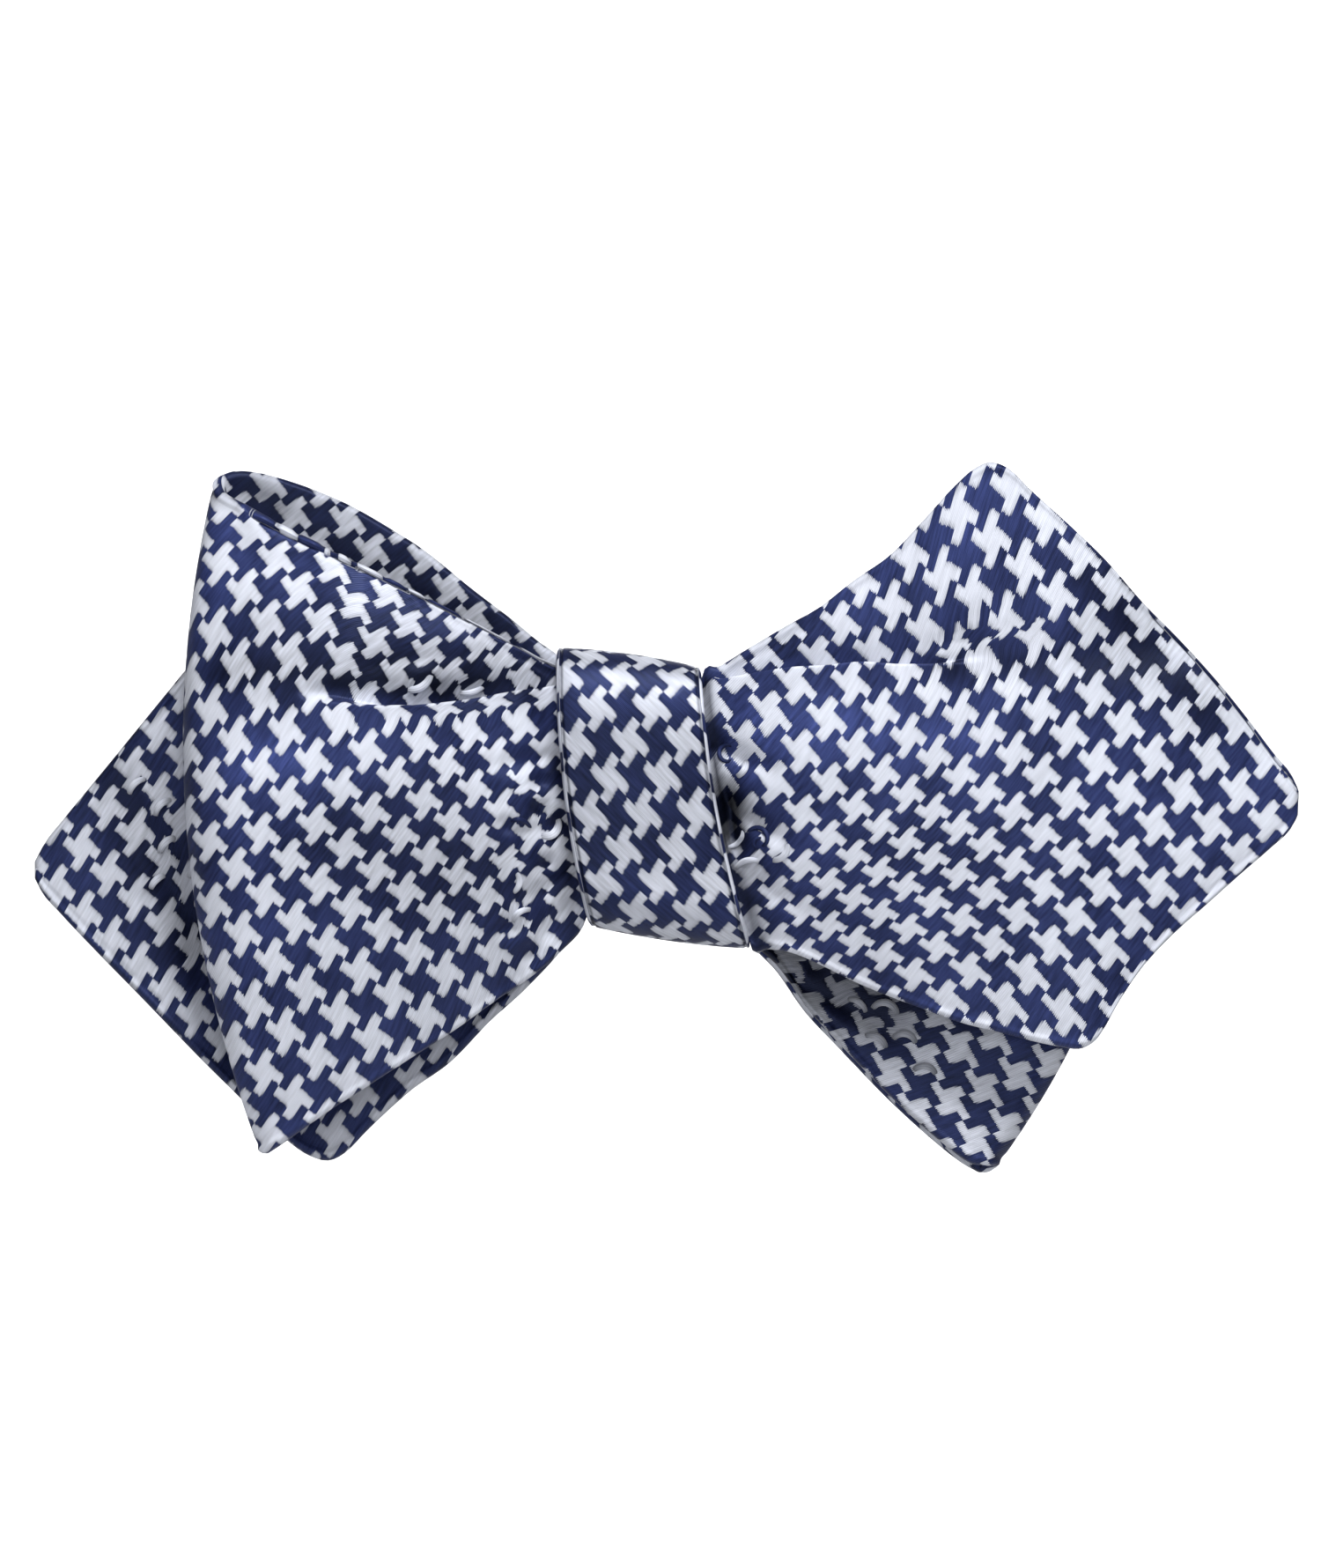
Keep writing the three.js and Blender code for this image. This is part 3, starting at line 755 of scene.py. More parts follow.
def add_loose_floats(cloth, face, arcs, painted_light_and_slack):
    """Sweep the loose floats of a face and add them to the mesh of its cloth."""
    lines = [laid_line(face, *arc[:5]) for arc in arcs]
    points = np.concatenate([line for line, _ in lines])
    arch = np.concatenate([height for _, height in lines])
    width, white = (np.repeat([float(arc[k]) for arc in arcs], ARC_STEPS) for k in (5, 6))
    edges = [(k, k + 1) for k in range(len(points) - 1) if (k + 1) % ARC_STEPS]
    data = bpy.data.meshes.new("float_lines")
    data.from_pydata((points * MM).tolist(), edges, [])
    # Painted shade: each float darker towards its ends, where it dives into the cloth.
    shade = np.zeros((len(points), 3))
    shade[:, :2] = (0.6 + 0.4 * arch)[:, None] * painted_light_and_slack
    for name, kind, values in (
        ("width", "FLOAT", width * (0.72 + 0.28 * arch) * MM),
        ("white", "FLOAT", white),
        ("painted_light_and_slack", "FLOAT_VECTOR", shade),
    ):
        layer = data.attributes.new(name, kind, "POINT")
        layer.data.foreach_set("vector" if kind == "FLOAT_VECTOR" else "value", values.ravel())
    thing = bpy.data.objects.new("float_lines", data)
    bpy.context.collection.objects.link(thing)
    modifier = thing.modifiers.new("floats", "NODES")
    modifier.node_group = FLOAT_TREE
    chosen = {"Thickness": 0.5, "Sides": 10, "Silk": silk}
    for item in FLOAT_TREE.interface.items_tree:
        if item.name in chosen:
            modifier[item.identifier] = chosen[item.name]
    swept = bpy.data.meshes.new_from_object(thing.evaluated_get(bpy.context.evaluated_depsgraph_get()))
    thing.modifiers.clear()
    for name in ("width", "white"):
        swept.attributes.remove(swept.attributes[name])
    mesh = bmesh.new()
    mesh.from_mesh(cloth.data)
    mesh.from_mesh(swept)
    mesh.to_mesh(cloth.data)
    mesh.free()
    bpy.data.objects.remove(thing)
    print("loose floats:", len(arcs), "faces:", len(swept.polygons))

# %% [markdown]
# Layers at the knot.
# Four layers of wing cloth and the neckband pass through the knot, one behind the other. The frame says
# where the band and the wrap are, so the layers between them are worked out from it.

# %% Depths of the layers
GAP = 0.3
CLOTH = 1.4
BAND_WALL = 1.8
band_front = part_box("neckband")[0][1] / MM
layer = {
    name: band_front - (count * GAP + (count - 0.5) * CLOTH)
    for count, name in enumerate(("rear_back", "rear_main", "front_back", "front_main"), start=1)
}
print("layers, mm:", {name: round(depth, 2) for name, depth in layer.items()})

# Where the waists leave the knot: upper and lower edge on each side, x and z
KNOT_LEFT = (-9.2, 12.2, -6.6, -10.2)
KNOT_RIGHT = (3.6, 10.3, 8.0, -12.3)


def row(edges, depth, forward=(0, 0), bow=0.0, swell=0.0, crease=0.3, lap=0.0):
    """A row of a strip, from its edges in the picture and its place in depth."""
    top_y, low_y = depth - forward[0], depth - forward[1]
    top_x, top_z = seen_at(edges[0], top_y, edges[1])
    low_x, low_z = seen_at(edges[2], low_y, edges[3])
    return (top_x, top_z, low_x, low_z, top_y, low_y, bow, swell, crease, lap)


def rows_in(depth, lines, crease=0.3):
    """Rows from lines of: edges, forward at the top and bottom, bow, swell. Where the cloth is lapped,
    the line goes on with its own crease and how far it is lapped."""
    return [row(line[0], depth, *line[1:4], *(line[4:] or (crease, 0.0))) for line in lines]


# %% [markdown]
# The front bow.
# Its back layer comes from under the knot, is folded at the left and comes back in front, a little
# lower, so that the inside of the loop shows above it. It then passes under the knot, pinched into one
# lapped pleat, and opens into the right blade with its diamond point.

# %% The front bow's rows
loop_back = rows_in(layer["front_back"], [
    ((-9.8, 13.5, -8.0, -12.2), (0.0, 0.0), 0.0, 0.0),
    ((-11.2, 14.5, -9.2, -13.3), (0.0, 0.0), 0.0, 0.0),
    ((-14.0, 16.8, -12.3, -15.6), (-0.2, 0.0), 0.0, -0.2),
    ((-17.8, 19.7, -15.6, -17.8), (-0.5, 0.0), 0.0, -0.5),
    ((-22.1, 23.2, -19.5, -20.6), (-0.8, -0.1), -0.4, -0.8),
    ((-25.8, 25.6, -24.0, -23.6), (-1.0, -0.2), -1.0, -1.0),
    ((-30.1, 28.0, -28.1, -26.4), (-1.0, -0.2), -2.0, -1.1),
    ((-34.6, 29.8, -31.2, -28.6), (-0.8, -0.2), -3.1, -1.1),
    ((-38.9, 30.9, -34.6, -31.2), (-0.3, -0.1), -4.2, -0.9),
    ((-40.7, 30.9, -36.4, -32.9), (0.2, 0.2), -4.8, -0.4),
], crease=0.28)
loop_fold = rows_in(layer["front_back"], [
    ((-41.6, 30.4, -37.3, -33.8), (0.9, 0.8), -5.0, 0.5),
], crease=0.28)
loop_front = rows_in(layer["front_main"], [
    ((-41.5, 29.2, -36.6, -33.4), (0.5, 0.0), -4.8, 1.3),
    ((-38.6, 27.4, -34.6, -32.0), (1.7, 0.5), -4.2, 3.2),
    ((-34.4, 25.1, -31.2, -29.6), (2.7, 0.9), -3.1, 4.5),
    ((-31.1, 23.5, -28.1, -27.6), (3.3, 1.1), -2.0, 4.8, 0.277, 0.1),
    ((-26.8, 21.3, -24.0, -24.9), (3.4, 1.1), -1.0, 4.6, 0.275, 0.4),
    ((-22.1, 18.9, -19.5, -22.0), (3.1, 1.0), -0.4, 4.2, 0.262, 0.85),
    ((-17.8, 16.6, -15.6, -19.2), (2.5, 0.8), 0.0, 3.4, 0.225, 1.0),
    ((-14.0, 14.6, -12.3, -17.0), (1.7, 0.6), 0.0, 2.3, 0.17, 1.0),
    ((-11.4, 13.2, -9.4, -14.6), (0.5, 0.3), 0.0, 0.8, 0.13, 1.0),
    ((-9.9, 12.6, -7.3, -12.2), (0.1, 0.1), 0.0, 0.2, 0.11, 1.0),
], crease=0.28)
front_waist = [
    row(KNOT_LEFT, layer["front_main"], crease=0.1, lap=1.0),
    row(KNOT_RIGHT, layer["front_main"], crease=0.07, lap=1.0),
]
front_blade = rows_in(layer["front_main"], [
    ((4.0, 11.8, 8.5, -14.1), (0.0, 0.0), 0.0, 0.0, 0.07, 1.0),
    ((5.5, 12.4, 10.2, -14.4), (0.1, 0.1), 0.0, 0.3, 0.075, 1.0),
    ((7.8, 13.8, 12.2, -14.7), (0.4, 0.3), 0.0, 1.2, 0.105, 1.0),
    ((12.0, 16.3, 15.6, -16.1), (0.8, 0.6), 0.0, 2.1, 0.15, 1.0),
    ((15.2, 18.1, 18.4, -17.5), (1.1, 0.8), 0.0, 2.4, 0.18, 0.95),
    ((18.4, 20.6, 21.2, -18.7), (1.4, 1.0), 0.0, 2.6, 0.215, 0.85),
    ((21.7, 22.9, 24.4, -19.9), (1.6, 1.2), 0.0, 2.6, 0.25, 0.65),
    ((25.1, 26.4, 28.5, -21.4), (1.9, 1.4), 0.0, 2.8, 0.29, 0.4),
    ((28.0, 29.6, 32.5, -22.4), (2.2, 1.7), 0.0, 2.9, 0.32, 0.15),
    ((29.8, 31.2, 35.5, -23.2), (2.3, 1.9), 0.0, 2.9),
    ((31.4, 31.8, 38.0, -23.7), (2.3, 2.0), 0.0, 2.8),
    ((33.0, 31.2, 39.7, -23.9), (2.3, 2.0), 0.0, 2.7),
    ((34.7, 29.5, 40.9, -23.4), (2.2, 2.0), 0.0, 2.6),
    ((37.8, 26.7, 41.9, -22.1), (2.1, 1.9), 0.0, 2.4),
    ((41.9, 22.8, 43.4, -19.4), (1.8, 1.7), 0.0, 2.0),
    ((45.5, 18.7, 45.6, -16.2), (1.4, 1.4), 0.0, 1.7),
    ((49.1, 15.1, 48.6, -13.0), (1.0, 1.0), 0.0, 1.3),
    ((52.7, 11.1, 52.0, -10.0), (0.5, 0.5), 0.0, 0.9),
    ((55.3, 7.9, 54.9, -7.4), (0.1, 0.1), 0.0, 0.6),
    ((58.2, 4.1, 57.8, -4.9), (-0.3, -0.3), 0.0, 0.3),
    ((59.9, 2.0, 59.7, -3.1), (-0.5, -0.5), 0.0, 0.1),
    ((60.6, 0.5, 60.5, -1.7), (-0.6, -0.6), 0.0, 0.0),
], crease=0.33)

# %% The front bow's seam, tacks and furrows
# A tack is: x, z, size and depth.
LOOP_TWISTS = (
    -38.9, -36.4, -34.4, -31.9, -31.3, -30.7, -29.4, -28.8, -26.3, -24.1, -22.2, -18.7, -14.1, -13.4
)
LOOP_TACKS = [
    (-38.7, 27.6, 0.6, 0.8),
    (-31.7, 23.9, 0.65, 0.9),
    (-26.4, 20.9, 0.5, 0.6),
    (-22.2, 18.7, 0.5, 0.5),
    (-16.0, 15.6, 0.5, 0.4),
    (-11.6, 1.4, 0.7, 0.5),
    (-11.6, -1.2, 0.7, 0.9),
    (-14.6, -2.6, 0.7, 0.5),
    (-10.8, -6.4, 0.8, 0.7),
    (-14.2, -12.2, 0.9, 0.5),
    (-12.4, -15.0, 0.8, 0.5),
]
LOOP_FURROWS = [
    (-9.0, 4.0, -18.0, 2.5, 0.9, 0.7),
    (-8.0, -2.0, -16.0, -3.5, 0.8, 0.8),
    (-7.5, -6.0, -15.0, -11.0, 0.8, 0.7),
    (-8.0, -9.5, -14.0, -16.0, 1.0, 0.6),
    (-33.0, 9.6, -27.0, 10.2, 1.3, 0.7),
    (-27.0, 12.6, -16.0, 13.6, 1.0, 0.5),
    (-40.0, 24.0, -36.0, 20.0, 1.2, 0.4),
]
BLADE_FURROWS = [
    (28.0, 13.2, 62.0, 15.5, 3.0, 0.8),
    (27.0, 14.6, 36.0, 17.2, 0.7, 0.4),
    (29.0, 16.6, 36.0, 20.0, 0.7, 0.3),
    (5.5, 5.0, 12.0, 2.0, 0.9, 0.9),
    (6.3, 0.6, 7.6, -7.0, 0.9, 1.6),
    (7.5, -1.0, 13.5, -5.0, 0.9, 0.8),
    (9.5, -8.0, 15.0, -11.5, 0.9, 0.5),
]
LOOP_LIP = ((-30, -22, -13), (0.95, 0.7, 0.45))
LOOP_TUCK = ((9, 11.5, 14, 18, 22), (0.2, 0.6, 1.8, 3.4, 4.2))
BLADE_TUCK = ((5, 8, 12, 20), (0.2, 0.7, 1.2, 1.4))
print("tacks:", len(LOOP_TACKS), "furrows:", len(LOOP_FURROWS + BLADE_FURROWS))

# %% Where the front bow's floats have slipped, stand up or are gathered
# A ruffle is: x, z, size and turn. A gather is: both ends, width and amount.
LOOP_RUFFLES = [
    (-13.2, 0.8, 2.0, 8),
    (-11.2, -2.2, 1.5, -24),
    (-14.5, -5.6, 1.8, 12),
    (-12.0, -11.0, 2.2, -14),
    (-16.0, -13.0, 2.0, 10),
    (-23.6, 11.0, 1.2, -26),
    (-18.4, 10.9, 1.2, 24),
    (-27.6, 11.2, 1.1, 18),
    (-14.8, 11.6, 1.1, -18),
    (-37.5, 29.6, 1.3, 22),
]
BLADE_RUFFLES = [
    (29.0, 14.4, 1.4, -10),
    (32.0, 15.2, 1.4, 10),
    (7.2, 5.4, 1.4, 16),
    (9.6, -2.0, 1.8, -16),
    (11.6, -5.5, 1.4, 10),
]
LOOP_ARCS = [
    (-23.7, 12.1, 1.9, -100, -15, 0.8, True),
    (-18.7, 12.8, 2.9, -98, -52, 0.6, True),
    (-10.9, -2.6, 1.15, -115, 25, 0.85, True),
    (-13.6, -3.4, 1.3, 20, 120, 0.5, False),
    (-12.6, -12.2, 1.5, 80, 170, 0.6, True),
    (-14.6, -8.0, 1.2, -60, 40, 0.6, True),
]
BLADE_ARCS = [
    (6.4, 4.2, 0.8, 60, 300, 0.45, False),
    (6.3, -3.2, 1.6, -85, 0, 0.5, True),
    (9.2, -3.9, 1.0, -60, 150, 0.5, False),
    (9.4, -4.4, 0.5, 60, 260, 0.35, False),
    (10.8, -4.7, 1.3, -95, 12, 0.7, True),
    (6.6, 3.4, 1.6, -65, 5, 0.65, True),
    (8.6, -7.6, 1.6, 60, 150, 0.6, True),
]
LOOP_GATHERS = [
    (-31.0, 9.0, -19.5, 8.6, 1.1, 1.2),
    (-19.5, 8.6, -11.0, 9.7, 1.1, 1.1),
    (-14.0, 2.2, -10.0, -1.0, 1.1, 0.9),
    (-14.0, -5.5, -10.0, -7.5, 1.0, 0.8),
    (-14.5, -10.5, -11.0, -15.0, 1.2, 0.8),
]
BLADE_GATHERS = [
    (26.0, 13.2, 36.0, 16.4, 1.4, 1.3),
    (29.0, 15.9, 35.0, 18.8, 1.0, 0.7),
    (6.0, 6.6, 10.0, 4.2, 1.0, 0.8),
    (6.6, -1.2, 12.0, -6.4, 1.2, 0.9),
]
print("ruffles:", len(LOOP_RUFFLES + BLADE_RUFFLES), "gathers:", len(LOOP_GATHERS + BLADE_GATHERS))

# %% How the front bow takes the light: painted light and shade
# A spot is: both ends, width, and the factors of white and of navy. Below one a factor paints shade into
# folds, into gaps beside the knot and where one part shadows another; above one it paints sheen.
# Painted light all over each face and on its loose floats; the inside of the loop is painted in shade.
LOOP_BASE_SHADE = (0.99, 0.9)
BLADE_BASE_SHADE = (0.98, 0.98)
INNER_BASE_SHADE = (0.80, 0.36)
FRONT_FLOAT_SHADE = (0.85, 0.6)
LOOP_PAINTED_LIGHT = [
    (-40.5, 12.0, -12.5, 11.4, 2.8, 0.78, 0.24),
    (-38.0, 16.5, -18.0, 15.2, 3.5, 0.86, 0.62),
    (-37.5, 3.6, -30.0, 3.0, 3.4, 1.08, 2.0),
    (-41.5, 2.0, -38.5, -24.0, 4.0, 1.1, 1.3),
    (-26.0, -4.0, -13.0, -8.0, 7.0, 0.78, 0.42),
    (-42.0, 26.0, -42.0, 19.0, 3.0, 1.0, 1.4),
    (-10.5, 6.0, -8.5, -12.0, 1.2, 0.8, 0.5),
    (-42.4, 29.2, -40.4, 28.4, 0.8, 0.72, 0.6),
    (-31.0, 11.0, -16.0, 10.6, 0.9, 0.8, 0.45),
    (-25.6, 11.6, -25.2, 10.4, 1.0, 0.9, 0.3),
    (-21.4, 11.4, -20.8, 10.2, 1.1, 0.85, 0.25),
]
INNER_PAINTED_LIGHT = [
    (-39.6, 30.0, -36.6, 28.2, 1.3, 0.5, 0.45),
    (-36.5, 27.2, -14.0, 15.6, 1.0, 0.8, 0.6),
]
BLADE_PAINTED_LIGHT = [
    (40.9, 21.3, 52.0, 8.4, 3.4, 0.9, 0.26),
    (27.5, 12.3, 46.0, 12.8, 2.2, 0.86, 0.32),
    (9.0, 6.6, 28.0, 5.6, 3.0, 1.0, 1.8),
    (18.0, 22.0, 31.0, 27.0, 6.0, 0.97, 1.25),
    (6.0, -1.0, 10.0, -13.0, 2.4, 0.8, 0.5),
    (5.2, 6.2, 5.6, 4.0, 0.9, 0.5, 0.35),
    (6.6, -0.4, 7.0, -3.4, 1.6, 0.02, 0.04),
    (4.3, 11.2, 6.4, -6.4, 0.55, 0.1, 0.1),
    (7.2, -7.0, 9.6, -14.0, 1.0, 0.24, 0.18),
    (44.0, 14.0, 58.0, 9.0, 5.0, 0.9, 1.0),
]
print("spots of sheen:", len(LOOP_PAINTED_LIGHT + INNER_PAINTED_LIGHT + BLADE_PAINTED_LIGHT))

# %% How the front bow's weave leans
LOOP_GRAIN = [
    (-27.7, -10.5, 59, 4.4, -35, 3.7),
    (-34.4, -23.0, 63, 4.5, -39, 3.9),
    (-22.7, -16.3, 64, 4.4, -35, 3.7),
    (-35.2, 18.8, 43, 4.2, -55, 3.7),
    (-26.8, 14.6, 38, 3.9, -54, 3.5),
    (-38.5, 2.1, 55, 4.3, -47, 3.6),
    (-15.1, -3.8, 53, 3.6, -36, 3.2),
    (-18.3, 3.6, 57, 3.85, -42, 3.45),
    (-23.4, 5.4, 58, 4.15, -42, 3.45),
]
BLADE_GRAIN = [
    (40.9, -4.6, 47, 3.9, -44, 3.9),
    (29.2, -13.0, 47, 3.4, -36, 3.7),
    (16.6, 3.8, 53, 4.1, -49, 4.0),
    (51.7, 0.4, 51, 4.1, -49, 4.2),
    (42.6, 15.5, 56, 4.2, -43, 4.0),
    (31.7, 22.2, 72, 5.5, -38, 3.9),
    (21.7, 17.1, 68, 4.7, -36, 3.7),
]
INNER_GRAIN = [(-27.0, 24.0, 39, 3.7, -52, 3.7), (-34.0, 26.0, 39, 3.8, -52, 3.7)]
LOOP_TOOTH = (-36.5, 22.6)
BLADE_TOOTH = (13.5, -1.6)
INNER_TOOTH = (-34.9, 26.8)
LOOP_ANCHOR = 25
BLADE_ANCHOR = 30
INNER_ANCHOR = 25
print("rows of grain:", len(LOOP_GRAIN + BLADE_GRAIN + INNER_GRAIN))

# %% Make the front bow
WAIST_MIDDLE = -2.7
CORD_REACH = 44
CORD_COLUMNS = 20
BLADE_SEAM_START = 47
BLADE_SEAM_COLUMNS = 30


def knot_station(stations, hidden):
    """The station in the middle of the waist that is seen."""
    return int(np.argmin(np.abs(stations[:, 0] - WAIST_MIDDLE) + 100 * hidden))


def front_weave(outer, inner, knot_row):
    """Weave maps of the front bow's two faces. Outside, the loop and the blade meet under the knot."""
    middle = ACROSS * 2 // 3
    loop_flat = laid(outer, int(knot_row - LOOP_ANCHOR / STEP), middle, LOOP_GATHERS, LOOP_RUFFLES)
    blade_flat = laid(outer, int(knot_row + BLADE_ANCHOR / STEP), middle, BLADE_GATHERS, BLADE_RUFFLES)
    loop_uv = weave_map(LOOP_GRAIN, LOOP_TOOTH)(loop_flat)
    blade_uv = weave_map(BLADE_GRAIN, BLADE_TOOTH)(blade_flat)
    outer_uv = np.concatenate([loop_uv[:knot_row], blade_uv[knot_row:]])
    return outer_uv, weave_map(INNER_GRAIN, INNER_TOOTH)(flattened(inner, int(INNER_ANCHOR / STEP), 4))


def front_seams(outer, outer_uv, edge, knot_row):
    """The loop's corded top, the blade's lip and the tacks. Returns how deep the cord is pinched, which
    sets the painted shade in its pinches.
    """
    places = np.arange(len(outer))[:, None]
    columns = np.arange(ACROSS)[None, :]
    loop_top = (columns < CORD_COLUMNS) & (places > knot_row - CORD_REACH / STEP) & (places < knot_row)
    past_seam = outer[:, :, 0] > BLADE_SEAM_START
    blade_top = (columns < BLADE_SEAM_COLUMNS) & past_seam & (places > knot_row)
    loop_lip = np.interp(outer[:, :1, 0], *LOOP_LIP)
    lipped(outer, outer_uv, edge, loop_top, loop_lip, depth=0.4, shift=(0.37, 0.21))
    cord = corded(outer, outer_uv, edge, loop_top, loop_lip, LOOP_TWISTS)
    lipped(outer, outer_uv, edge, blade_top, lip=0.8, depth=0.2, shift=(0.2, 0.55))
    outer[:knot_row] = tacked(outer[:knot_row], LOOP_TACKS)
    return cord


def front_bow():
    rows = [
        row(KNOT_RIGHT, layer["front_back"], crease=0.28),
        row(KNOT_LEFT, layer["front_back"], crease=0.28),
        *loop_back, *loop_fold, *loop_front, *front_waist, *front_blade,
    ]
    grid, shares, stations = strip_grid(rows, 2 + len(loop_back))
    knot_row = knot_station(stations, np.arange(len(stations)) < len(stations) / 3)
    tuck = np.concatenate([
        np.interp(-stations[:knot_row, 0], *LOOP_TUCK), np.interp(stations[knot_row:, 0], *BLADE_TUCK)
    ])[:, None]
    folded = lapped(grid, shares, stations, tuck)
    seen = stations[:knot_row, 4] < layer["front_back"] - 0.5
    folded[:knot_row][seen] = furrowed(folded[:knot_row], LOOP_FURROWS)[seen]
    folded[knot_row:] = furrowed(folded[knot_row:], BLADE_FURROWS)
    outer, inner = cloth_faces(grid, folded, -int(15 / STEP))
    outer_uv, inner_uv = front_weave(outer, inner, knot_row)
    edge = edge_distance(grid)
    cord = front_seams(outer, outer_uv, edge, knot_row)
    loop_painted_light = painted_light_of(outer, LOOP_BASE_SHADE, LOOP_PAINTED_LIGHT, edge, LOOP_RUFFLES)
    blade_painted_light = painted_light_of(outer, BLADE_BASE_SHADE, BLADE_PAINTED_LIGHT, edge, BLADE_RUFFLES)
    outer_painted_light = np.concatenate([loop_painted_light[:knot_row], blade_painted_light[knot_row:]])
    # Painted shade in the pinches of the cord.
    outer_painted_light[:, :, :2] *= (1 - 0.55 * cord)[..., None]
    inner_painted_light = painted_light_of(inner, INNER_BASE_SHADE, INNER_PAINTED_LIGHT, edge)
    print("front bow stations:", len(stations), "knot at", knot_row)
    cloth = shell("front_bow_cloth", outer, inner, outer_uv, inner_uv, outer_painted_light, inner_painted_light)
    for arcs in (LOOP_ARCS, BLADE_ARCS):
        add_loose_floats(cloth, outer, arcs, FRONT_FLOAT_SHADE)
    return cloth


front_cloth = front_bow()

# %% [markdown]
# The rear bow.
# The same cloth the other way round: its blade lies behind the left loop, and its own loop behind the
# right blade, where only the lower point shows. It curves back a little, towards the collar.

# %% The rear bow's rows
hidden_back = rows_in(layer["rear_back"], [
    ((6.4, 11.0, 8.7, -14.1), (0.0, 0.0), 0.0, 0.0),
    ((8.3, 11.2, 10.7, -16.2), (0.0, 0.0), 0.0, 0.0),
    ((12.5, 11.8, 13.7, -20.4), (-0.3, -0.2), 0.0, -0.5),
    ((16.6, 12.4, 16.6, -23.5), (-0.7, -0.4), 0.0, -1.0),
    ((21.0, 13.2, 21.1, -28.2), (-1.0, -0.6), 0.2, -1.6),
    ((25.8, 14.0, 24.4, -31.3), (-1.2, -0.7), 0.8, -2.0),
    ((31.0, 15.0, 27.6, -34.0), (-1.2, -0.7), 2.3, -1.9),
    ((36.0, 16.2, 29.6, -35.3), (-0.8, -0.4), 4.7, -1.4),
    ((40.0, 17.3, 30.6, -35.5), (-0.1, 0.0), 6.9, -0.7),
])
hidden_fold = rows_in(layer["rear_back"], [
    ((41.4, 18.0, 31.2, -34.9), (0.9, 0.9), 7.4, 0.0),
])
hidden_front = rows_in(layer["rear_main"], [
    ((40.0, 17.6, 30.7, -34.9), (0.1, 0.2), 7.0, 0.2),
    ((36.0, 16.8, 29.6, -34.8), (0.1, 0.4), 5.0, 0.4),
    ((31.0, 15.8, 27.6, -33.5), (0.0, 0.4), 2.5, 0.4),
    ((25.8, 14.8, 24.4, -30.8), (0.0, 0.3), 0.8, 0.3),
    ((21.0, 13.9, 21.1, -27.7), (0.0, 0.2), 0.2, 0.2),
    ((16.6, 13.0, 16.6, -23.0), (0.0, 0.1), 0.0, 0.1),
    ((12.5, 12.3, 13.9, -20.0), (0.0, 0.0), 0.0, 0.0),
    ((8.3, 11.5, 10.9, -15.8), (0.0, 0.0), 0.0, 0.0),
    ((6.4, 11.0, 8.9, -14.0), (0.0, 0.0), 0.0, 0.0),
])
rear_blade = rows_in(layer["rear_main"], [
    ((-12.6, 13.2, -9.3, -14.4), (-0.1, -0.1), 0.0, -0.1),
    ((-16.0, 14.8, -12.8, -18.2), (-0.7, -0.6), 0.0, -0.5),
    ((-20.5, 16.7, -16.1, -21.2), (-1.4, -1.1), 0.0, -1.0),
    ((-26.0, 18.8, -20.0, -25.2), (-2.2, -1.6), 0.0, -1.4),
    ((-31.0, 21.2, -24.0, -28.1), (-2.7, -2.0), 0.0, -1.7),
    ((-34.0, 22.2, -27.8, -31.6), (-2.8, -2.2), 0.0, -1.8),
    ((-35.3, 22.2, -30.0, -33.8), (-2.8, -2.3), 0.0, -1.8),
    ((-36.6, 21.4, -31.6, -34.5), (-2.7, -2.3), 0.0, -1.8),
    ((-38.0, 20.2, -33.4, -34.0), (-2.6, -2.2), 0.0, -1.7),
    ((-40.0, 18.2, -36.2, -32.0), (-2.5, -2.0), 0.0, -1.4),
    ((-44.0, 13.4, -42.0, -26.5), (-2.0, -1.5), 0.0, -0.8),
    ((-49.4, 6.8, -49.5, -18.8), (-1.2, -0.8), 0.0, 0.0),
    ((-53.5, 1.8, -53.8, -14.4), (-0.8, -0.5), 0.0, 0.2),
    ((-56.6, -2.0, -57.0, -11.0), (-0.6, -0.5), 0.0, 0.1),
    ((-58.6, -4.6, -58.8, -8.9), (-0.6, -0.6), 0.0, 0.0),
    ((-59.4, -6.1, -59.4, -7.7), (-0.6, -0.6), 0.0, 0.0),
])

# %% The rear bow's furrows and slipped floats
REAR_BLADE_FURROWS = [
    (-38.5, -27.0, -54.5, 6.0, 2.6, 1.6),
    (-44.0, -14.0, -49.0, 8.0, 1.0, 0.7),
    (-49.5, -10.0, -53.5, -1.0, 0.8, 0.4),
]
REAR_LOOP_FURROWS = [
    (9.0, -13.0, 26.0, -21.0, 2.2, 1.2),
    (10.0, -16.0, 20.0, -22.0, 0.8, 0.6),
    (16.0, -18.5, 27.0, -26.0, 1.0, 0.4),
]
REAR_BLADE_RUFFLES = [
    (-48.5, -0.5, 2.0, 14),
    (-46.5, -5.0, 2.0, -14),
    (-44.5, -10.0, 2.0, 12),
]
REAR_LOOP_RUFFLES = [
    (13.0, -17.0, 2.2, 18),
    (17.5, -19.5, 2.2, -16),
    (22.0, -22.5, 2.2, 14),
]
REAR_BLADE_ARCS = [
    (-49.5, 0.0, 1.76, 172, 96, 0.65, True),
    (-47.0, -2.0, 1.76, 175, 98, 0.65, True),
    (-46.6, -5.7, 1.8, 172, 98, 0.75, True),
    (-43.9, -8.1, 1.76, 172, 108, 0.75, True),
    (-47.4, -9.4, 1.9, 165, 105, 0.7, True),
]
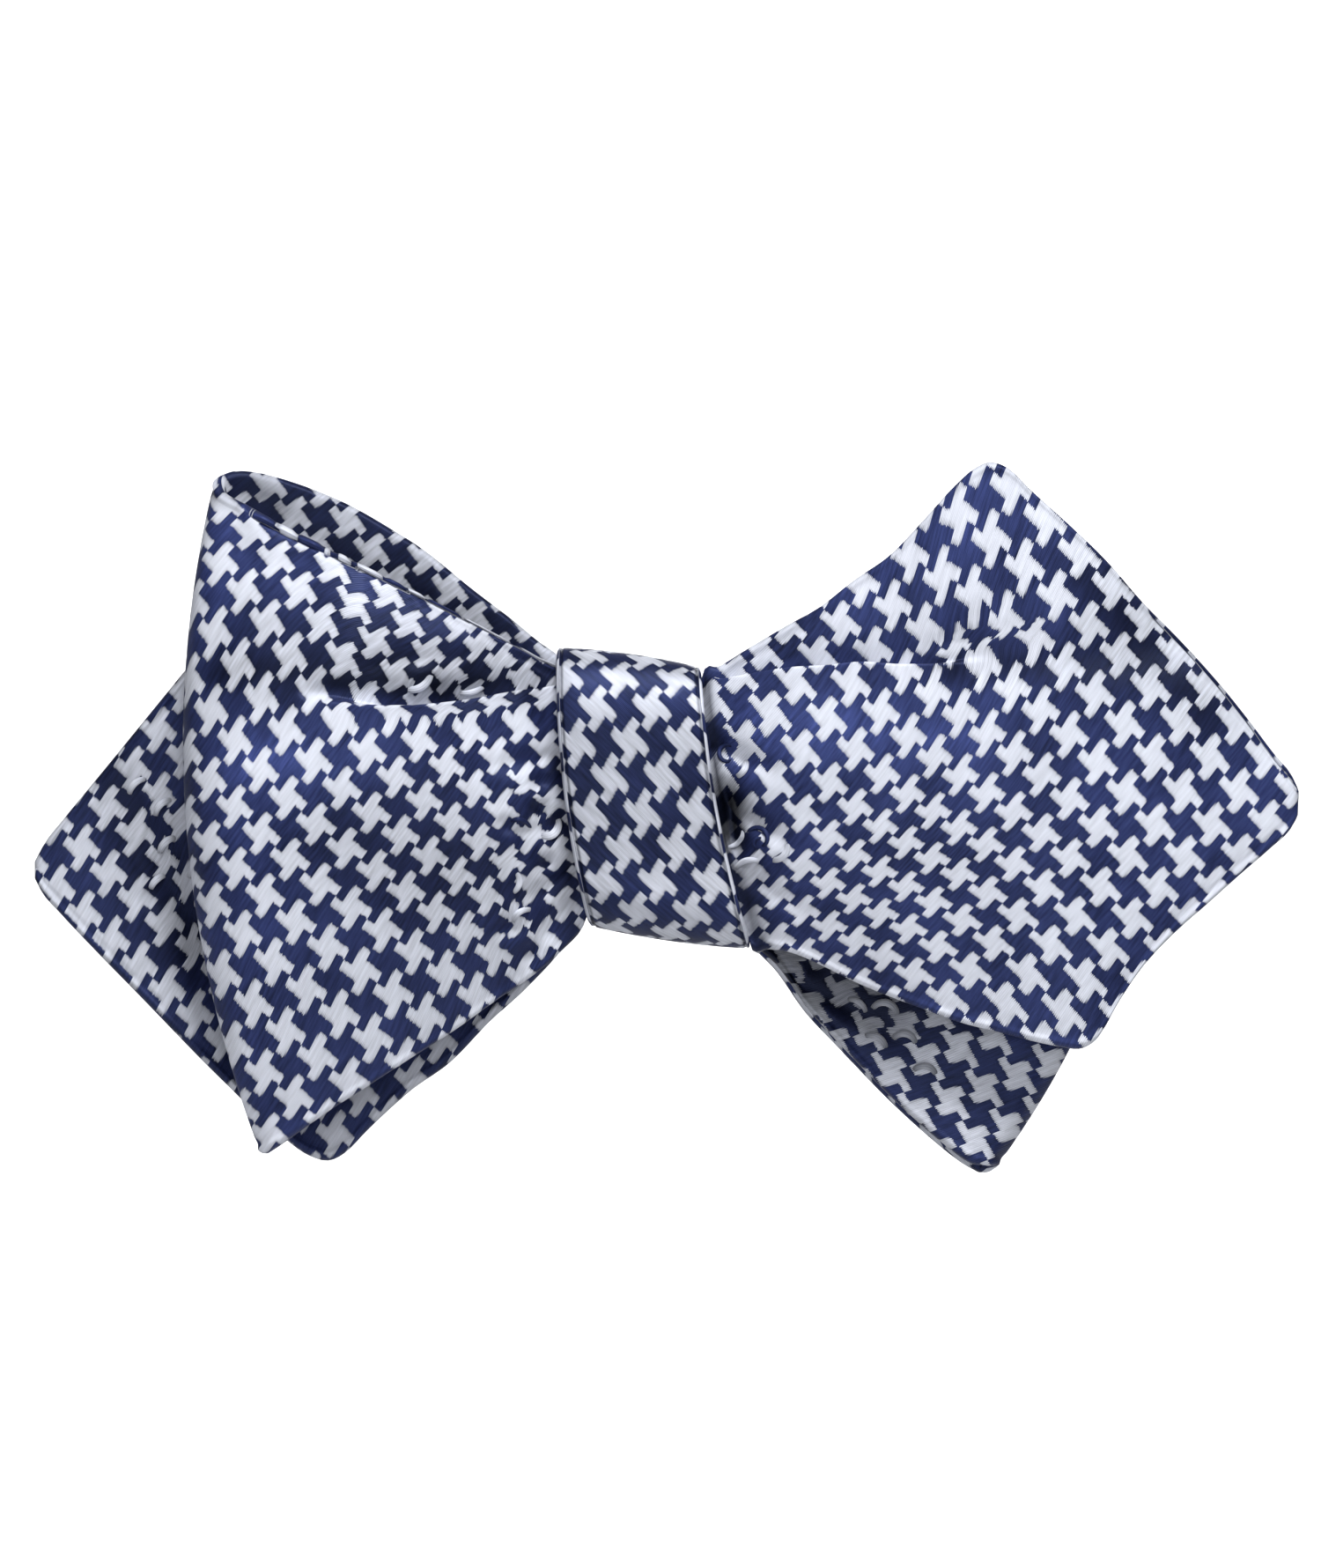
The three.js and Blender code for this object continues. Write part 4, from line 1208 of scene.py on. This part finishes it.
REAR_LOOP_ARCS = [
    (18.3, -21.0, 1.5, 100, 10, 0.6, True),
    (21.5, -21.0, 1.25, 150, 0, 0.75, True),
    (20.2, -24.4, 1.5, 110, 10, 0.7, True),
    (23.4, -23.9, 1.15, 150, 10, 0.7, True),
    (25.3, -27.1, 1.25, 140, 20, 0.7, True),
]
REAR_BLADE_GATHERS = [(-44.0, -16.0, -49.5, 1.0, 2.0, 0.5)]
REAR_LOOP_GATHERS = [(11.0, -16.5, 24.0, -23.0, 1.8, 0.7)]
print("loose floats on the rear bow:", len(REAR_BLADE_ARCS + REAR_LOOP_ARCS))

# %% The rear bow's painted light and shade, and weave
# Painted shade on the rear bow: darker all over, in a valley beside the front loop, and under the front
# blade, where its loop is shadowed; its loose floats darker still. One spot low on the loop paints the
# white brighter.
REAR_BASE_SHADE = (0.82, 0.75)
REAR_BLADE_FLOAT_SHADE = (0.72, 0.5)
REAR_LOOP_FLOAT_SHADE = (0.42, 0.3)
REAR_PAINTED_LIGHT = [
    (-51.8, 1.0, -47.0, -14.0, 4.4, 0.76, 0.28),
    (-44.0, 4.0, -41.0, -14.0, 2.0, 0.85, 0.6),
    (8.0, -14.5, 22.0, -21.0, 3.2, 0.42, 0.12),
    (12.0, -17.0, 30.0, -22.0, 3.0, 0.8, 0.5),
    (24.0, -24.0, 30.0, -32.0, 3.0, 1.12, 0.8),
]
REAR_BLADE_GRAIN = [
    (-51.1, -6.3, 58, 4.5, -43, 3.5),
    (-46.9, -15.5, 61, 4.7, -41, 3.5),
    (-30.0, -26.0, 58, 4.5, -42, 3.6),
]
REAR_LOOP_GRAIN = [
    (28.3, -28.0, 20, 3.4, -58, 4.4),
    (20.0, -20.0, 16, 3.4, -60, 4.3),
]
REAR_BLADE_TOOTH = (-49.8, -9.6)
REAR_LOOP_TOOTH = (27.5, -28.8)
REAR_BLADE_ANCHOR = 35
REAR_LOOP_ANCHOR = 25

# %% Make the rear bow
def rear_weave(outer, inner, knot_row):
    """Weave maps of the rear bow's two faces. The hidden face goes on with the weave of the front loop."""
    middle = ACROSS // 2
    blade_row = int(knot_row - REAR_BLADE_ANCHOR / STEP)
    loop_row = int(knot_row + REAR_LOOP_ANCHOR / STEP)
    blade_flat = laid(outer, blade_row, middle, REAR_BLADE_GATHERS, REAR_BLADE_RUFFLES)
    loop_flat = laid(outer, loop_row, middle, REAR_LOOP_GATHERS, REAR_LOOP_RUFFLES)
    blade_uv = weave_map(REAR_BLADE_GRAIN, REAR_BLADE_TOOTH)(blade_flat)
    loop_uv = weave_map(REAR_LOOP_GRAIN, REAR_LOOP_TOOTH)(loop_flat)
    outer_uv = np.concatenate([blade_uv[:knot_row], loop_uv[knot_row:]])
    return outer_uv, weave_map(LOOP_GRAIN, LOOP_TOOTH)(flattened(inner, blade_row, middle))


def rear_bow():
    rows = [
        row(KNOT_LEFT, layer["rear_back"]), row(KNOT_RIGHT, layer["rear_back"]),
        *hidden_back, *hidden_fold, *hidden_front,
        row(KNOT_RIGHT, layer["rear_main"]), row(KNOT_LEFT, layer["rear_main"]), *rear_blade,
    ]
    grid, _, stations = strip_grid(rows, 2 + len(hidden_back))
    grid, stations = grid[::-1], stations[::-1]
    knot_row = knot_station(stations, np.arange(len(stations)) > len(stations) / 1.5)
    folded = grid.copy()
    folded[:knot_row] = furrowed(grid[:knot_row], REAR_BLADE_FURROWS)
    seen = stations[knot_row:, 4] < layer["rear_back"] - 1.0
    folded[knot_row:][seen] = furrowed(grid[knot_row:], REAR_LOOP_FURROWS)[seen]
    outer, inner = cloth_faces(grid, folded, int(20 / STEP))
    outer_uv, inner_uv = rear_weave(outer, inner, knot_row)
    print("rear bow stations:", len(stations), "knot at", knot_row)
    edge = edge_distance(grid)
    outer_painted_light = painted_light_of(outer, REAR_BASE_SHADE, REAR_PAINTED_LIGHT, edge, REAR_BLADE_RUFFLES + REAR_LOOP_RUFFLES)
    inner_painted_light = painted_light_of(inner, REAR_BASE_SHADE, (), edge)
    cloth = shell("rear_bow_cloth", outer, inner, outer_uv, inner_uv, outer_painted_light, inner_painted_light)
    add_loose_floats(cloth, outer, REAR_BLADE_ARCS, REAR_BLADE_FLOAT_SHADE)
    add_loose_floats(cloth, outer, REAR_LOOP_ARCS, REAR_LOOP_FLOAT_SHADE)
    return cloth


rear_cloth = rear_bow()

# %% [markdown]
# The wrap of the knot.
# The strip goes once round both waists and the neckband. It leans to the left, and the tunnel that it
# makes falls to the right. Its section is a rectangle with round corners, larger in front, so that the
# wrap rolls away at the top and bottom. It is narrower behind, where nobody looks.

# %% The wrap's sizes and weave
KNOT_MIDDLE = -1.25
KNOT_FALL = math.radians(8)
KNOT_LEAN = math.tan(math.radians(16.4))
KNOT_BOW = 0.7
TUNNEL_HALF = 11.4
TUNNEL_FRONT = -76.1
WRAP_WALL = 1.6
WRAP_WIDTHS = (14.0, 15.7, 10.0)
WRAP_CROWN = 0.7
WRAP_CORNERS = (3.2, 0.8)
WRAP_EDGE = 0.4
PIPING_SHARE = 0.1
PIPING_REPEAT = 5.6
PIPING_HIGHLIGHT = 1.25
tunnel_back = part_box("knot_wrap")[1][1] / MM - WRAP_WALL
WRAP_GRAIN = [
    (-0.9, 0.4, -47, 4.3, -119, 3.8),
    (-2.6, 7.9, -45, 4.2, -125, 3.6),
    (1.6, -7.9, -42, 4.3, -123, 3.3),
]
WRAP_TOOTH = (-3.7, 10.8)
# Painted light on the wrap: darker all over, brighter at the top and at the foot, darker along the top
# roll.
WRAP_BASE_SHADE = (0.70, 0.48)
WRAP_PAINTED_LIGHT = [
    (-6.0, 10.4, 4.0, 8.8, 2.6, 1.42, 1.8),
    (-2.0, -9.0, 6.0, -10.5, 3.0, 1.12, 1.25),
    (-8.6, 13.2, 4.0, 11.6, 0.7, 0.72, 0.6),
]
print("back of the tunnel, mm:", round(tunnel_back, 2))

# %% The way round the wrap
def knot_place(along, up):
    """Where a point of the wrap lies: along its width and up its slanting tunnel."""
    slid = along - KNOT_LEAN * up - KNOT_BOW * (1 - (up / TUNNEL_HALF) ** 2)
    x = KNOT_MIDDLE + slid * math.cos(KNOT_FALL) + up * math.sin(KNOT_FALL)
    z = -slid * math.sin(KNOT_FALL) + up * math.cos(KNOT_FALL)
    return x, z


def wrap_section(margin, count):
    """Points round the section, evenly spaced, from the middle of its front: depth and height."""
    front, back = (corner + margin for corner in WRAP_CORNERS)
    near, far = TUNNEL_FRONT - margin, tunnel_back + margin
    high = TUNNEL_HALF + margin
    points = [(near, 0.0)]
    corners = (
        (near + front, high - front, front, math.pi, math.pi / 2),
        (far - back, high - back, back, math.pi / 2, 0),
        (far - back, back - high, back, 0, -math.pi / 2),
        (near + front, front - high, front, -math.pi / 2, -math.pi),
    )
    for y, z, radius, start, end in corners:
        for turn in np.linspace(start, end, 12):
            points.append((y + radius * math.cos(turn), z + radius * math.sin(turn)))
    points.append((near, 0.0))
    points = np.array(points)
    length = np.concatenate([[0], np.cumsum(np.linalg.norm(np.diff(points, axis=0), axis=1))])
    even = np.linspace(0, length[-1], count + 1)[:-1]
    return np.stack([np.interp(even, length, points[:, k]) for k in (0, 1)], axis=1), even


# %% Make the wrap
def wrap_half_width(depth, up):
    """Half the wrap's width: wider towards its foot, and narrower behind."""
    high = TUNNEL_HALF + WRAP_WALL
    low_share = np.clip((high - up) / (2 * high), 0, 1)
    behind = smooth_step(0.3, 1.0, (depth - TUNNEL_FRONT) / (tunnel_back - TUNNEL_FRONT))
    front_width = WRAP_WIDTHS[0] + (WRAP_WIDTHS[1] - WRAP_WIDTHS[0]) * low_share
    return (front_width + (WRAP_WIDTHS[2] - front_width) * behind) / 2


def knot_wrap():
    around, across = ((280, 90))
    inner_section, _ = wrap_section(0, around)
    outer_section, lengths = wrap_section(WRAP_WALL, around)
    shares = np.linspace(-1, 1, across)
    shares = np.sign(shares) * (1 - (1 - np.abs(shares)) ** 1.9)
    outer = np.zeros((around, across, 3))
    inner = np.zeros((around, across, 3))
    for i in range(around):
        (depth, up), (in_depth, in_up) = outer_section[i], inner_section[i]
        away = np.array([depth - in_depth, up - in_up])
        away /= np.linalg.norm(away)
        half = wrap_half_width(depth, up)
        crown = WRAP_CROWN * (0.35 + 0.65 * abs(away[0]))
        for j, share in enumerate(shares):
            from_edge = (1 - abs(share)) * half
            near = min(from_edge / WRAP_EDGE, 1)
            sink = 0.5 * WRAP_WALL * (1 - math.sqrt(max(1 - (1 - near) ** 2, 0)))
            groove = 0.32 * math.exp(-(((from_edge - 0.5) / 0.11) ** 2))
            rise = crown * (1 - share * share) - sink - groove
            x, z = knot_place(share * half, up + away[1] * rise)
            outer[i, j] = (x, depth + away[0] * rise, z)
            x, z = knot_place(share * half, in_up + away[1] * sink)
            inner[i, j] = (x, in_depth + away[0] * sink, z)
    turn = np.where(lengths > lengths[-1] / 2, lengths - lengths[-1] - lengths[1], lengths)
    flat = np.zeros((around + 1, across, 2))
    flat[:-1, :, 0] = outer[:, :, 0] + KNOT_LEAN * (outer[:, :, 2] - turn[:, None])
    flat[:-1, :, 1] = turn[:, None] + (outer[:, :, 2] - outer[:, across // 2, 2][:, None])
    flat[-1] = flat[0]
    uv = weave_map(WRAP_GRAIN, WRAP_TOOTH)(flat)
    piping = np.arange(across) < PIPING_SHARE * across
    piping |= piping[::-1]
    uv[:, piping, 0] = np.append(turn, turn[0])[:, None] / PIPING_REPEAT
    uv[:, piping, 1] = 0.12
    painted_light_and_slack = painted_light_of(outer, WRAP_BASE_SHADE, WRAP_PAINTED_LIGHT)
    # Painted highlight on the rolled edges.
    painted_light_and_slack[:, piping, :2] *= PIPING_HIGHLIGHT
    # Painted shade in the groove inside each rolled edge.
    from_edge = (1 - np.abs(shares)) * WRAP_WIDTHS[0] / 2
    painted_light_and_slack[:, :, :2] *= (1 - 0.6 * np.exp(-(((from_edge - 0.52) / 0.12) ** 2)))[None, :, None]
    print("wrap grid:", outer.shape)
    return shell("knot_wrap_cloth", outer, inner, uv, uv, painted_light_and_slack, painted_light_and_slack, ring=True)


wrap_cloth = knot_wrap()

# %% [markdown]
# The neckband.
# The photo hides it, so it is the plain way round: an oval of the same strip, pressed flat, with its two
# long edges rolled into soft seams.

# %% The neckband
BAND_HEIGHT = 18.0
BAND_ROLL = math.radians(3)
NECK_HALF_WIDTH = 52.0
NECK_HALF_DEPTH = 65.0
BAND_REPEAT = 3.9
BAND_EDGE = 0.8
BAND_BASE = (0.95, 0.95)


def neckband():
    around, across = ((420, 34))
    turn = np.linspace(0, 2 * math.pi, around, endpoint=False) + math.pi / 2
    heights = np.linspace(-1, 1, across)
    heights = np.sign(heights) * (1 - (1 - np.abs(heights)) ** 1.8) * BAND_HEIGHT / 2
    outer = np.zeros((around, across, 3))
    inner = np.zeros((around, across, 3))
    for j, height in enumerate(heights):
        from_edge = BAND_HEIGHT / 2 - abs(height)
        near = min(from_edge / BAND_EDGE, 1)
        thick = BAND_WALL / 2 * math.sqrt(max(1 - (1 - near) ** 2, 0))
        groove = 0.12 * math.exp(-(((from_edge - 1.3) / 0.35) ** 2))
        for face, offset in ((outer, BAND_WALL / 2 + thick - groove), (inner, BAND_WALL / 2 - thick)):
            x = (NECK_HALF_WIDTH + offset) * np.cos(turn)
            face[:, j, 0] = x * math.cos(BAND_ROLL) - height * math.sin(BAND_ROLL)
            face[:, j, 1] = (NECK_HALF_DEPTH + offset) * np.sin(turn)
            face[:, j, 2] = x * math.sin(BAND_ROLL) + height * math.cos(BAND_ROLL)
    ring = outer[:, across // 2]
    steps = np.linalg.norm(np.roll(ring, -1, axis=0) - ring, axis=1)
    along = np.concatenate([[0], np.cumsum(steps)])
    diagonal = BAND_REPEAT * math.sqrt(2)
    along *= round(along[-1] / diagonal) * diagonal / along[-1]
    slant = math.sqrt(0.5) / BAND_REPEAT
    uv = np.zeros((around + 1, across, 2))
    uv[:, :, 0] = (along[:, None] + heights[None, :]) * slant
    uv[:, :, 1] = (along[:, None] - heights[None, :]) * slant
    painted_light_and_slack = painted_light_of(outer, BAND_BASE, ())
    print("band length, mm:", round(float(steps.sum())))
    return shell("neckband_cloth", outer, inner, uv, uv, painted_light_and_slack, painted_light_and_slack, ring=True)


band_cloth = neckband()

# %% [markdown]
# Finish and frame.
# Each stretch of cloth stands for its solid in the frame, which is hidden and stays for collision, and is
# listed with the size it was cut to. The area of each cut is the flat area between the strip's edges,
# added up from row to row, before swell, pleat, furrows and seams take cloth. The mesh has 5 to 17 % more.
# The band is a plain rectangle.

STRETCHES = (
    (front_cloth, "front_bow", (0.066, 0.160), 0.00565),
    (rear_cloth, "rear_bow", (0.060, 0.155), 0.00516),
    (wrap_cloth, "knot_wrap", (0.016, 0.090), 0.00093),
    (band_cloth, "neckband", (0.018, 0.376), 0.00677),
)
for piece, node, flat, cut_area in STRETCHES:
    piece.data.materials.append(silk)
    cloth_area = sum(face.area for face in piece.data.polygons) / 2
    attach(piece, "root")
    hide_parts(node)
    print(node, "cloth, square cm:", round(cloth_area * 1e4, 1), "cut:", round(cut_area * 1e4, 1))

# %% [markdown]
# The studio.
# The bow is held up in front of a pale sweep, a floor that turns up into a wall, as in a catalogue. A soft
# light from above gives the folds their shade, a weak one from the front fills them, and a third lights
# only the wall. The wall stands well back, so that the bow can be looked at from behind too.

# %% Sweep
FLOOR_START = -2.4
WALL_BACK = 2.4
WALL_TOP = 1.6
FLOOR = -0.35
BEND = 0.4
SWEEP_HALF = 2.0
PAPER = (0.93, 0.93, 0.93, 1)


def sweep():
    profile = [(FLOOR_START, FLOOR), (WALL_BACK - BEND, FLOOR)]
    for turn in np.linspace(0, math.pi / 2, 12):
        profile.append((WALL_BACK - BEND + BEND * math.sin(turn), FLOOR + BEND - BEND * math.cos(turn)))
    profile.append((WALL_BACK, WALL_TOP))
    verts = [(x, y, z) for x in (-SWEEP_HALF, SWEEP_HALF) for y, z in profile]
    count = len(profile)
    faces = [(i, i + 1, count + i + 1, count + i) for i in range(count - 1)]
    data = bpy.data.meshes.new("sweep")
    data.from_pydata(verts, [], faces)
    data.polygons.foreach_set("use_smooth", [True] * len(faces))
    thing = bpy.data.objects.new("sweep", data)
    bpy.context.collection.objects.link(thing)
    paper = bpy.data.materials.new("paper")
    paper.use_nodes = True
    surface = paper.node_tree.nodes["Principled BSDF"].inputs
    surface["Base Color"].default_value = PAPER
    surface["Roughness"].default_value = 0.9
    data.materials.append(paper)
    print("sweep faces:", len(faces))


sweep()

# %% Lights
BOW_PLACE = (0, -0.07, 0)
LIGHTS = (
    ("key", (0.12, -0.44, 0.72), BOW_PLACE, 0.26, 8.0),
    ("fill", (-0.1, -0.9, 0.1), BOW_PLACE, 0.4, 2.0),
    ("wall_light", (0.0, WALL_BACK - 0.55, 0.7), (0, WALL_BACK + 0.05, 0.1), 0.8, 16.0),
)
STUDIO_AIR = 0.125


def soft_light(name, place, aim, size, power):
    data = bpy.data.lights.new(name, "AREA")
    data.shape = "SQUARE"
    data.size = size
    data.energy = power
    thing = bpy.data.objects.new(name, data)
    bpy.context.collection.objects.link(thing)
    thing.location = place
    direction = np.array(aim) - np.array(place)
    thing.rotation_euler = (
        math.atan2(math.hypot(direction[0], direction[1]), -direction[2]),
        0,
        math.atan2(direction[1], direction[0]) - math.pi / 2,
    )


for light in LIGHTS:
    soft_light(*light)
world = bpy.data.worlds.new("studio")
world.use_nodes = True
air = world.node_tree.nodes["Background"].inputs
air["Color"].default_value = (1, 1, 1, 1)
air["Strength"].default_value = STUDIO_AIR
bpy.context.scene.world = world
print("lights:", [light[0] for light in LIGHTS])
